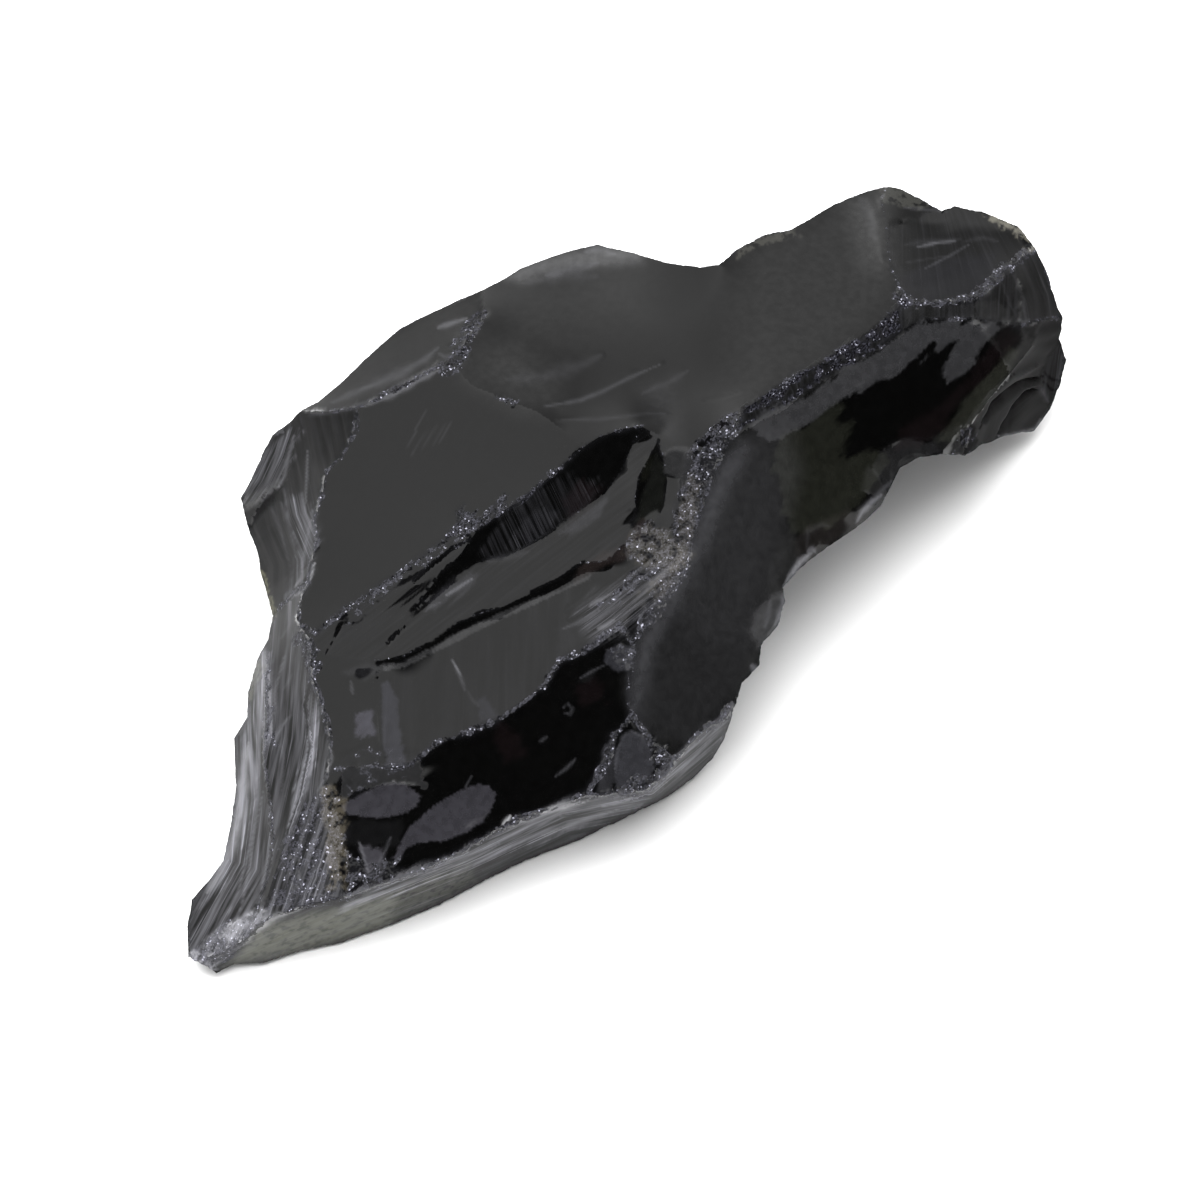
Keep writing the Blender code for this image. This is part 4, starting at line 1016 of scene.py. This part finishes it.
def stretched(rows, triangles, pressure):
    """Heights of the free points: the surface f with the Laplacian of f equal to the pressure and
    f given on the ridges, by cotangent weights and conjugate gradients."""
    count, areas = len(rows), np.abs(surface(rows, triangles))
    starts, ends, weights = [], [], []
    load = np.zeros(count)
    for corner in range(3):
        i, j, k = (triangles[:, (corner + step) % 3] for step in range(3))
        to_i, to_j = rows[i, :2] - rows[k, :2], rows[j, :2] - rows[k, :2]
        starts.append(i)
        ends.append(j)
        weights.append((to_i * to_j).sum(axis=1) / (4 * areas))
        load -= np.bincount(i, pressure * areas / 3, count)
    start, end, weight = map(np.concatenate, (starts, ends, weights))
    middle = np.bincount(start, weight, count) + np.bincount(end, weight, count)

    def pulled(f):
        """Pull of the neighbours on every point: middle weight times f less theirs."""
        return (middle * f - np.bincount(start, weight * f[end], count)
                - np.bincount(end, weight * f[start], count))

    free = np.isnan(rows[:, 2])
    f = np.where(free, np.nanmean(rows[:, 2]), rows[:, 2])
    rest = np.where(free, load - pulled(f), 0.0)
    ready = rest / middle
    step = ready.copy()
    power = rest @ ready
    for _ in range(MOST_STEPS):
        if np.abs(rest).max() < LEAST_REST:
            break
        force = np.where(free, pulled(step), 0.0)
        share = power / (step @ force)
        f += share * step
        rest -= share * force
        ready = rest / middle
        power, last = rest @ ready, power
        step = ready + power / last * step
    return f


def stood_up(rows, heights):
    """Stone coordinates in mm of drawing points with their heights above the table."""
    depth = (rows[:, 1] - heights * math.cos(SLANT)) / math.sin(SLANT)
    x = rows[:, 0] * math.cos(TURN) - depth * math.sin(TURN)
    y = rows[:, 0] * math.sin(TURN) + depth * math.cos(TURN)
    return np.stack([x, y, heights], axis=1)


def turned_to(triangles, rows, anticlockwise):
    """Triangles wound the wanted way as seen in the drawing."""
    wrong = (surface(rows, triangles) > 0) != anticlockwise
    triangles = triangles.copy()
    triangles[wrong] = triangles[wrong][:, ::-1]
    return triangles


def outward(points, triangles):
    """Unit normal of every point, the mean of its triangles' normals by area."""
    a, b, c = (points[triangles[:, i]] for i in range(3))
    normal = np.cross(b - a, c - a)
    total = np.stack([sum(np.bincount(triangles[:, i], normal[:, axis], len(points))
                          for i in range(3)) for axis in range(3)], axis=1)
    return total / np.maximum(np.linalg.norm(total, axis=1), 1e-12)[:, None]


def side_of_stone(ridges, breaks, border, border_heights, spacing, line_spacing, stray, upper):
    """One side: its drawing rows, heights, triangles and break numbers by point."""
    rows, triangles, walls = sheet(ridges, border, border_heights, spacing, line_spacing, stray)
    middles = rows[triangles][:, :, :2].mean(axis=1)
    seeds = [int(np.argmin(np.linalg.norm(middles - drawn(value[:2]), axis=1)))
             for value in breaks.values()]
    number = spread(triangles, walls, len(rows), seeds)
    areas = np.abs(surface(rows, triangles))
    total = np.bincount(number[number >= 0], areas[number >= 0], len(breaks))
    press = 4 * math.pi * np.array([value[2] for value in breaks.values()]) / np.maximum(total, 1)
    pressure = np.where(number >= 0, press[number], 0.0)
    heights = stretched(rows, triangles, pressure)
    by_point = np.full(len(rows), -1)
    by_point[triangles.ravel()] = np.repeat(number, 3)
    if not upper:
        heights = np.maximum(np.round(heights, 5), 0.0)
    return rows, heights, turned_to(triangles, rows, upper), by_point


def streaks(points, number, free):
    """Flow coordinates (across, along, strength) of every upper point and the lift of its
    streaks: noise stretched along the guide of its break."""
    names = list(TOP_BREAKS)
    flow = np.zeros((len(points), 3))
    lift = np.zeros(len(points))
    for name, (guide, spacing, length, height, dust, _) in FLOWS.items():
        mine = np.flatnonzero((number == names.index(name)) & free)
        across, far = along(points[mine], guide, endless=True)
        lift[mine] = height * layered(across / spacing, far / length, SEED["streaks"], 2)
        across *= STREAK_FLOW / spacing
        flow[mine] = np.column_stack([across, far, np.full(len(mine), dust)])
    return flow, lift


def relief(points, number, crush, ribs):
    """Lift of the upper side in mm and the crush that its pits leave.  Ripples are a sine of the
    distance to their focus, bent and faded by noise; creases and grooves follow their lines;
    a pit is exp(-(distance / size)^2) deep and takes the crumbs out of its middle."""
    x, y = points[:, 0], points[:, 1]
    names = list(TOP_BREAKS)
    lift = np.zeros(len(points))
    bend = 0.35 * noise(x / RIPPLE_BEND, y / RIPPLE_BEND, SEED["ripple bend"])
    fade = 0.5 + 0.5 * noise(x / RIPPLE_FADE, y / RIPPLE_FADE, SEED["ripple fade"])
    for name, focus, length, height in RIPPLES:
        apart = np.linalg.norm(points - drawn(focus), axis=1) + bend
        wave = height * fade * np.sin(2 * math.pi * apart / length)
        lift += np.where(number == names.index(name), wave, 0.0)
    for guide, width, height in CREASES:
        lift += height * stroke(points, guide, width)
    lift += ribs * (1 - 0.5 * crush)
    for place, size, depth in PITS:
        hole = np.exp(-(np.linalg.norm(points - drawn(place), axis=1) / size) ** 2)
        lift -= depth * hole
        crush = crush * (1 - 0.8 * hole)
    return lift, crush


def skins(points, number, flow):
    """Dullness of the upper side and its flow coordinates, with the dustier and duller parts
    and those that are combed another way."""
    names = list(TOP_BREAKS)
    flow = flow.copy()
    dull = np.zeros(len(points))
    for name, (*_, skin) in FLOWS.items():
        dull[number == names.index(name)] = skin
    for row, (corners, soft, dust, skin) in enumerate(SKINS):
        amount = field(points, corners, soft, SKIN_RAG, SEED["skins"] + row)
        flow[:, 2] = np.maximum(flow[:, 2], dust * amount)
        dull = np.maximum(dull, skin * amount)
    for row, (corners, soft, guide, dust) in enumerate(COMBED):
        amount = field(points, corners, soft, SKIN_RAG, SEED["combed"] + row)
        mine = np.flatnonzero(amount > 0)
        across, far = along(points[mine], guide, endless=True)
        flow[mine] = np.column_stack([COMB_FLOW * across, far, dust * amount[mine]])
    return dull, flow


def shaded(points):
    """Painted shade of the upper side: the share of the mirror light that its dark fields and dark
    lines take away.
    """
    painted_shade = highest(points, PAINTED_SHADE_FIELDS, SHADE_RAG, SEED["painted shade"])
    for guide, width, share in PAINTED_SHADE_LINES:
        painted_shade = np.maximum(painted_shade, share * stroke(points, guide, width))
    return painted_shade


def filmed(points, films, seed):
    """Linear colour that films add: the sum of every field times its colour."""
    colour = np.zeros((len(points), 3))
    for row, (corners, soft, ragged, code) in enumerate(films):
        amount = field(points, corners, soft, ragged, seed + row)
        colour += amount[:, None] * np.array(linear(code)) * FILM_SHARE
    return colour


def marked_and_highlighted(points):
    """Linear colour that the thin light marks and painted highlights add."""
    colour = np.zeros((len(points), 3))
    for guide, width, tone in MARKS_AND_HIGHLIGHTS:
        amount = stroke(points, guide, width)
        colour += amount[:, None] * np.array(linear(TONES[tone])) * FILM_SHARE
    return colour


def underside(points, number):
    """Crush, flow coordinates and lift of the underside: crushed ridges of a ragged width, and
    streaks that run a way of their own on each break."""
    x, y = points[:, 0], points[:, 1]
    ridges = np.concatenate([divided(ridge, {}, UNDER_STEP)[:, :2]
                             for ridge in UNDER_RIDGES.values()])
    ragged = layered(x / CRUSH_SWELL, y / CRUSH_SWELL, SEED["under crush"], 3)
    width = UNDER_CRUSH * (1.0 + 0.5 * ragged)
    crush = 0.8 * np.exp(-(nearest(points, ridges) / width) ** 2)
    angle = 2 * math.pi * hashed(number, number * 0.0, SEED["under way"])
    across = x * np.cos(angle) + y * np.sin(angle)
    far = y * np.cos(angle) - x * np.sin(angle)
    flow = np.column_stack([across, far, np.full(len(points), UNDER_DUST)])
    spacing, length, height = UNDER_STREAKS
    return crush, flow, height * layered(across / spacing, far / length, SEED["under streaks"], 2)


def crumbled(points):
    """Crumbs of the crushed ridges from about -1 to 1: 0.55 parts of a layered noise and 0.45 of
    a random grit, sunk by 0.2."""
    x, y = points[:, 0], points[:, 1]
    coarse = layered(x / CRUMB, y / CRUMB, SEED["crumbs"], 2)
    fine = 2 * hashed(np.round(x / GRIT), np.round(y / GRIT), SEED["grit"]) - 1
    return 0.55 * coarse + 0.45 * fine - 0.2


def stone_mesh(settings):
    """Points (m), triangles and masks of the whole stone.  Both sides are stretched breaks
    between ridges, joined along the outline, and every point moves along its normal by the
    relief, the crumbs and a low swell."""
    border_heights = known_heights(OUTLINE)
    line_spacing = LINE_SHARE * settings.spacing
    closed = OUTLINE + OUTLINE[:1]
    border = divided(closed, border_heights, line_spacing)[:-1]
    lines = {name: divided(ridge, {}, RIDGE_STEP)[:, :2] for name, ridge in TOP_RIDGES.items()}
    lines["outline"] = divided(closed, {}, RIDGE_STEP)[:, :2]

    def stray(points):
        """Points of either side moved by one rule, so that the sides still meet."""
        return strayed(points, lines, settings.wander)

    rows, heights, triangles, number = side_of_stone(
        TOP_RIDGES, TOP_BREAKS, border, border_heights, settings.spacing, line_spacing, stray,
        True)
    under_rows, under_heights, under_triangles, under_number = side_of_stone(
        UNDER_RIDGES, UNDER_BREAKS, border, border_heights, settings.under_spacing,
        settings.under_spacing, stray, False)
    top, rim = len(rows), len(border)
    upper, below = rows[:, :2], under_rows[rim:, :2]

    flow, ribs = streaks(upper, number, np.isnan(rows[:, 2]))
    crush = np.maximum(crushed(upper, lines),
                       highest(upper, CRUSHED_FIELDS, CRUSHED_RAG, SEED["crushed fields"]))
    lift, crush = relief(upper, number, crush, ribs)
    dull, flow = skins(upper, number, flow)
    under_crush, under_flow, under_lift = underside(below, under_number[rim:])
    crush = np.concatenate([crush, under_crush])

    def whole(values):
        """Values of the upper side, with zeros for the points of the underside."""
        return np.concatenate([values, np.zeros((len(below),) + values.shape[1:])])

    # Colour of the films and marks: dust, with painted sheen and painted highlights
    film_and_sheen = (whole(filmed(upper, FILMS_AND_SHEENS, SEED["films"]) + marked_and_highlighted(upper))
            + crush[:, None] * np.array(linear(settings.halo)) * FILM_SHARE
            + np.array(linear(settings.glass)))
    rinds = [(corners, soft, RIND_RAG, code) for corners, soft, code in RINDS]
    # Painted shade in the masks: mirror light taken away on the dark fields and lines and on the
    # crumbs
    masks = {"crush": crush, "dull": whole(dull),
             "painted_shade": np.maximum(CRUMB_SHADE * crush, whole(shaded(upper))),
             "film_and_sheen": film_and_sheen, "rind": whole(filmed(upper, rinds, SEED["rinds"])),
             "flow": np.concatenate([flow, under_flow])}

    points = np.concatenate([stood_up(rows, heights), stood_up(under_rows, under_heights)[rim:]])
    points += np.array(DRAWING_PLACE)
    under_triangles = np.where(under_triangles < rim, under_triangles,
                               under_triangles + top - rim)
    triangles = np.concatenate([triangles, under_triangles])
    drawing = np.concatenate([upper, below])
    lift = np.concatenate([lift, under_lift])
    lift += settings.crumbs * crush * crumbled(drawing)
    lift += settings.swell * layered(drawing[:, 0] / SWELL, drawing[:, 1] / SWELL,
                                     SEED["swell"], 2)
    lift = np.where(points[:, 2] < TABLE_GAP, 0.0, lift)
    points = points + outward(points, triangles) * lift[:, None]
    points[:, 2] = np.maximum(points[:, 2], 0.0)
    return points / 1000, triangles, masks


class OnyxStoneSettings(bpy.types.PropertyGroup):
    """Sizes and colours of the stone."""
    spacing: bpy.props.FloatProperty(
        name="Spacing", description="Millimetres between points of the upper side",
        default=0.17, min=0.1)
    under_spacing: bpy.props.FloatProperty(
        name="Underside spacing", description="Millimetres between points of the underside",
        default=0.42, min=0.2)
    wander: bpy.props.FloatProperty(
        name="Ridge wander", description="Millimetres that crushed ridges stray sideways",
        default=0.16, min=0.0)
    crumbs: bpy.props.FloatProperty(
        name="Crumb height", description="Millimetres that crushed ridges stand and sink",
        default=0.16, min=0.0)
    swell: bpy.props.FloatProperty(
        name="Swell", description="Millimetres that the breaks rise and fall at random",
        default=0.03, min=0.0)
    glass: bpy.props.StringProperty(
        name="Glass colour", description="sRGB hex colour of the clean breaks", default="#030303")
    powder: bpy.props.StringProperty(
        name="Powder colour", description="sRGB hex colour of the lightest splinters",
        default="#2d2d33")
    halo: bpy.props.StringProperty(
        name="Ridge dust", description="sRGB hex colour of the dust beside crushed ridges",
        default="#26262a")
    sparkle: bpy.props.StringProperty(
        name="Sparkle colour", description="sRGB hex colour of the few whitest splinters",
        default="#8a8a96")
    splinter_dark: bpy.props.StringProperty(
        name="Dark splinters", description="sRGB hex colour of the darkest splinters",
        default="#040405")
    streak: bpy.props.StringProperty(
        name="Streak colour", description="sRGB hex colour of the dusty streaks",
        default="#6c6c72")


class OnyxStageSettings(bpy.types.PropertyGroup):
    """Table, light and camera."""
    table: bpy.props.StringProperty(
        name="Table colour", description="sRGB hex colour of the table", default="#dcdcdc")
    dome: bpy.props.FloatProperty(
        name="Dome light", description="Brightness of the white studio dome", default=1.0, min=0.0)
    softbox_size: bpy.props.FloatProperty(
        name="Softbox size", description="Width of the soft light", default=1.2,
        subtype="DISTANCE", unit="LENGTH")
    softbox_power: bpy.props.FloatProperty(
        name="Softbox power", description="Watts of the soft light", default=18.0, min=0.0)
    lens: bpy.props.FloatProperty(
        name="Lens", description="Focal length in millimetres", default=1200.0, min=50.0)
    width: bpy.props.FloatProperty(
        name="Field", description="Width of the view at the stone", default=0.090,
        subtype="DISTANCE", unit="LENGTH")


def add_node(tree, kind, links=None, **settings):
    """Adds a node; settings are attributes or input values by name, and links are sockets, or
    values for inputs that have only a number."""
    node = tree.nodes.new(kind)
    for key, value in settings.items():
        if hasattr(node, key):
            setattr(node, key, value)
        else:
            node.inputs[key.replace("_", " ")].default_value = value
    for key, source in (links or {}).items():
        if isinstance(source, bpy.types.NodeSocket):
            tree.links.new(source, node.inputs[key])
        else:
            node.inputs[key].default_value = source
    return node


def ramp(tree, value, low=0.0, high=1.0, start=0.0, end=1.0, **settings):
    """Runs from start to end as the value runs from low to high."""
    return add_node(tree, "ShaderNodeMapRange", {"Value": value}, From_Min=low, From_Max=high,
                    To_Min=start, To_Max=end, **settings).outputs[0]


def worked(tree, operation, first, second, **settings):
    """Result of a maths node for two sockets or numbers."""
    return add_node(tree, "ShaderNodeMath", {0: first, 1: second}, operation=operation,
                    **settings).outputs[0]


def blended(tree, factor, under, over, **settings):
    """Colour under moved to colour over by the factor."""
    return add_node(tree, "ShaderNodeMix", {"Factor": factor, 6: under, 7: over},
                    data_type="RGBA", **settings).outputs[2]


def crushed_grain(tree, place, crush, settings):
    """Grey sugar of splinters: its colour, how it covers the stone, the clumps it lies in, the
    mottle of the dust around it and the height of its tilted faces."""
    # Splinters 0.12 mm across: each one tips its own way and is lighter or darker than the next
    cells = add_node(tree, "ShaderNodeTexVoronoi", {"Vector": place}, Scale=1000 * SPLINTERS)
    tip = add_node(tree, "ShaderNodeVectorMath",
                   {0: cells.outputs["Color"], 1: (0.5, 0.5, 0.5)}, operation="SUBTRACT")
    slope = add_node(tree, "ShaderNodeVectorMath", {0: tip.outputs[0], 1: place},
                     operation="DOT_PRODUCT").outputs["Value"]
    shade, rare = add_node(tree, "ShaderNodeSeparateColor",
                           {0: cells.outputs["Color"]}).outputs[:2]
    # Clumps 0.7 mm across, with bare glass between them where the stone is less crushed
    grain = add_node(tree, "ShaderNodeTexNoise", {"Vector": place}, Scale=1000 * CLUMPS,
                     Detail=5.0).outputs["Fac"]
    clumps = ramp(tree, grain, 0.38, 0.62, 0.0, 2.0)
    cover = ramp(tree, worked(tree, "MULTIPLY", crush, clumps), 0.26, 0.42)
    mottle = ramp(tree, grain, 0.35, 0.65, 0.84, 1.16)
    # Most splinters are dark, some are light, and one in twenty is nearly white
    uneven = ramp(tree, grain, 0.38, 0.62, 0.1, 2.0)
    light = worked(tree, "MULTIPLY", worked(tree, "POWER", shade, 1.7), uneven)
    white = worked(tree, "MULTIPLY", ramp(tree, rare, 0.95, 1.0), uneven)
    sugar = blended(tree, light, opaque(settings.splinter_dark), opaque(settings.powder))
    sugar = blended(tree, white, sugar, opaque(settings.sparkle))
    return sugar, cover, clumps, mottle, slope


def streaked_dust(tree, flow, strength):
    """Dusty streaks in the piece's own flow coordinates: how they cover the stone, which is the
    sum of bands and hairlines times the strength, and the noise of the bands."""
    noises = []
    for repeats, detail, roughness in ((BANDS, 3.0, 0.55), (HAIRS, 2.0, 0.5)):
        place = add_node(tree, "ShaderNodeVectorMath", {0: flow, 1: repeats},
                         operation="MULTIPLY").outputs[0]
        noises.append(add_node(tree, "ShaderNodeTexNoise", {"Vector": place}, Scale=1.0,
                               Detail=detail, Roughness=roughness).outputs["Fac"])
    bands, hairs = noises
    both = worked(tree, "ADD", ramp(tree, bands, 0.42, 0.74),
                  ramp(tree, hairs, 0.58, 0.70, 0.0, 0.9))
    return worked(tree, "MULTIPLY", both, strength, use_clamp=True), bands


def stone_material(settings):
    """Conchoidally broken glassy silica: near-black mirror breaks under thin grey films of dust
    and painted sheen, with painted shade where their mirror light is taken down, and ridges
    crushed to a grey sugar of splinters."""
    material = bpy.data.materials.new("glassy_silica_broken")
    material.use_nodes = True
    tree = material.node_tree
    shader = tree.nodes["Principled BSDF"]
    place = add_node(tree, "ShaderNodeTexCoord").outputs["Object"]
    crush, dull, painted_shade, film_and_sheen, rind, flow = (
        add_node(tree, "ShaderNodeAttribute", attribute_name=name).outputs[output]
        for name, output in (("crush", "Fac"), ("dull", "Fac"), ("painted_shade", "Fac"),
                             ("film_and_sheen", "Color"), ("rind", "Color"), ("flow", "Vector")))
    strength = add_node(tree, "ShaderNodeSeparateXYZ", {0: flow}).outputs[2]
    sugar, cover, clumps, mottle, slope = crushed_grain(tree, place, crush, settings)
    dust, bands = streaked_dust(tree, flow, strength)

    # Colour: mottled film of dust and painted sheen on black glass, splinters over it, then
    # streaks and weathered rind
    film_and_sheen = add_node(tree, "ShaderNodeVectorMath", {0: film_and_sheen, 3: mottle}, operation="SCALE")
    colour = blended(tree, cover, film_and_sheen.outputs[0], sugar)
    colour = blended(tree, dust, colour, opaque(settings.streak))
    colour = blended(tree, clumps, colour, rind, blend_type="ADD")

    # Roughness: mirror breaks, half-rough crumbs and dust, and skins as dull as paper
    matt = ramp(tree, worked(tree, "MAXIMUM", cover, dust), start=0.05, end=0.50)
    rough = worked(tree, "MAXIMUM", matt, worked(tree, "MULTIPLY", dull, 0.95))

    # Slopes finer than the mesh: faces of the splinters and ribs of the streaks
    tilted = add_node(tree, "ShaderNodeBump", {"Height": slope, "Strength": cover},
                      Distance=SPLINTER_TILT)
    ribbed = add_node(tree, "ShaderNodeBump", {"Height": bands, "Strength": strength,
                                               "Normal": tilted.outputs[0]}, Distance=STREAK_DEPTH)

    # Mirror light of silica, taken down by painted shade on the dark fields and lines and between
    # the crumbs
    shader.inputs["IOR"].default_value = 1.5
    mirror = ramp(tree, painted_shade, start=0.5, end=0.0)
    for name, socket in (("Base Color", colour), ("Roughness", rough),
                         ("Specular IOR Level", mirror), ("Normal", ribbed.outputs[0])):
        tree.links.new(socket, shader.inputs[name])
    return material


class ONYX_OT_stone(bpy.types.Operator):
    """Builds the stone: breaks as stretched skins between crushed ridges."""
    bl_idname = "onyx.stone"
    bl_label = "Onyx stone"

    def execute(self, context):
        """Works the surface out, puts it in a mesh and stands it for the CAD node."""
        settings = context.scene.onyx_stone
        points, triangles, masks = stone_mesh(settings)
        mesh = bpy.data.meshes.new("raw_onyx")
        mesh.from_pydata(points.tolist(), [], triangles.tolist())
        mesh.shade_smooth()
        mesh.set_sharp_from_angle(angle=SHARP_ANGLE)
        whole = masks["crush"][triangles].mean(axis=1) < FLAT_CRUSH
        mesh.polygons.foreach_set("use_smooth", whole)
        for name, values in masks.items():
            kind = "FLOAT" if values.ndim == 1 else "FLOAT_VECTOR"
            layer = mesh.attributes.new(name, kind, "POINT")
            slot = "value" if values.ndim == 1 else "vector"
            layer.data.foreach_set(slot, values.astype(np.float32).ravel())
        mesh.materials.append(stone_material(settings))
        stone = bpy.data.objects.new("raw_onyx", mesh)
        context.scene.collection.objects.link(stone)
        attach(stone, "root")
        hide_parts(STONE_NODE)
        return {"FINISHED"}


class ONYX_OT_stage(bpy.types.Operator):
    """Lays the pale table, lights the studio dome and sets the camera."""
    bl_idname = "onyx.stage"
    bl_label = "Onyx stage"

    def execute(self, context):
        """Table under the stone, white dome with dark cards, soft lights, long-lens camera."""
        settings = context.scene.onyx_stage
        scene = context.scene
        scene.view_settings.view_transform = "Standard"
        self.table(scene, settings)
        self.dome(scene, settings)
        self.softboxes(scene, settings)
        self.camera(scene, settings)
        return {"FINISHED"}

    def table(self, scene, settings):
        """Square sheet of white matte paper, too dull to mirror the stone."""
        mesh = bpy.data.meshes.new("table")
        corners = [(-1, -1), (1, -1), (1, 1), (-1, 1)]
        mesh.from_pydata([(x * TABLE_REACH, y * TABLE_REACH, 0) for x, y in corners], [],
                         [(0, 1, 2, 3)])
        paper = bpy.data.materials.new("white_matte_paper")
        paper.use_nodes = True
        shader = paper.node_tree.nodes["Principled BSDF"]
        shader.inputs["Base Color"].default_value = opaque(settings.table)
        shader.inputs["Roughness"].default_value = 1.0
        shader.inputs["Specular IOR Level"].default_value = 0.0
        mesh.materials.append(paper)
        table = bpy.data.objects.new("table", mesh)
        scene.collection.objects.link(table)

    def dome(self, scene, settings):
        """White world with dark cards, each falling smoothly from 1 at its outer angle to its own
        brightness at the inner one."""
        world = bpy.data.worlds.new("studio_dome")
        scene.world = world
        world.use_nodes = True
        tree = world.node_tree
        way = add_node(tree, "ShaderNodeTexCoord").outputs["Generated"]
        light = settings.dome
        for tilts, outer, inner, brightness in CARDS:
            across = add_node(tree, "ShaderNodeVectorMath", {0: way, 1: mirrored(*tilts)},
                              operation="DOT_PRODUCT").outputs["Value"]
            card = ramp(tree, across, math.cos(math.radians(outer)),
                        math.cos(math.radians(inner)), 1.0, brightness,
                        interpolation_type="SMOOTHSTEP")
            light = worked(tree, "MULTIPLY", card, light)
        background = tree.nodes["Background"]
        tree.links.new(light, background.inputs["Strength"])
        background.inputs["Color"].default_value = (1, 1, 1, 1)

    def softboxes(self, scene, settings):
        """Soft lights above and to both sides of the camera, kept out of the mirror breaks."""
        for name, place, share in SOFTBOXES:
            data = bpy.data.lights.new(name, "AREA")
            data.shape = "DISK"
            data.size = settings.softbox_size
            data.energy = settings.softbox_power * share
            box = bpy.data.objects.new(name, data)
            box.visible_glossy = False
            box.location = Vector(turned(place))
            box.rotation_euler = (-box.location).to_track_quat("-Z", "Y").to_euler()
            scene.collection.objects.link(box)

    def camera(self, scene, settings):
        """Long-lens camera looking square at the drawing."""
        right, up, towards = view_axes()
        data = bpy.data.cameras.new("camera")
        data.lens = settings.lens
        data.sensor_width = SENSOR_WIDTH
        data.clip_end = 20.0
        camera = bpy.data.objects.new("camera", data)
        scene.collection.objects.link(camera)
        distance = settings.lens * settings.width / SENSOR_WIDTH + HALF_STONE
        place = np.array(DRAWING_PLACE) / 1000 + towards * distance
        camera.matrix_world = Matrix([(right[i], up[i], towards[i], place[i]) for i in range(3)]
                                     + [(0, 0, 0, 1)])
        scene.camera = camera


def turned(vector):
    """A direction of the drawing's table plane turned to the stone's own axes."""
    x, y, z = vector
    return np.array([x * math.cos(TURN) - y * math.sin(TURN),
                     x * math.sin(TURN) + y * math.cos(TURN), z])


def view_axes():
    """Right, up and towards the eye of the drawing, in the stone's axes."""
    return (turned((1, 0, 0)), turned((0, math.sin(SLANT), math.cos(SLANT))),
            turned((0, -math.cos(SLANT), math.sin(SLANT))))


def mirrored(right_tilt, up_tilt):
    """Direction that a face shows to the camera when it is tilted right and up by these degrees:
    R = 2 (N V) N - V."""
    right, up, towards = view_axes()
    normal = (right * math.tan(math.radians(right_tilt)) + up * math.tan(math.radians(up_tilt))
              + towards)
    normal /= np.linalg.norm(normal)
    return tuple(2 * (normal @ towards) * normal - towards)


class ONYX_PT_panel(bpy.types.Panel):
    """Lists the stone and its stage."""
    bl_idname = "ONYX_PT_panel"
    bl_label = "Raw black onyx"
    bl_space_type = "VIEW_3D"
    bl_region_type = "UI"
    bl_category = "Onyx"

    def draw(self, context):
        """Settings above the button that uses them."""
        for group, operator in (("onyx_stone", "onyx.stone"), ("onyx_stage", "onyx.stage")):
            settings = getattr(context.scene, group)
            box = self.layout.box()
            for name in settings.__annotations__:
                box.prop(settings, name)
            box.operator(operator)


CLASSES = (OnyxStoneSettings, OnyxStageSettings, ONYX_OT_stone, ONYX_OT_stage, ONYX_PT_panel)


def register():
    """Registers the classes and hangs the settings on the scene."""
    for item in CLASSES:
        bpy.utils.register_class(item)
    bpy.types.Scene.onyx_stone = bpy.props.PointerProperty(type=OnyxStoneSettings)
    bpy.types.Scene.onyx_stage = bpy.props.PointerProperty(type=OnyxStageSettings)


def unregister():
    """Takes the settings and the classes away again."""
    del bpy.types.Scene.onyx_stone
    del bpy.types.Scene.onyx_stage
    for item in reversed(CLASSES):
        bpy.utils.unregister_class(item)


def main():
    """Registers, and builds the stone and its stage."""
    register()
    bpy.ops.onyx.stone()
    bpy.ops.onyx.stage()


if __name__ == "__main__":
    main()
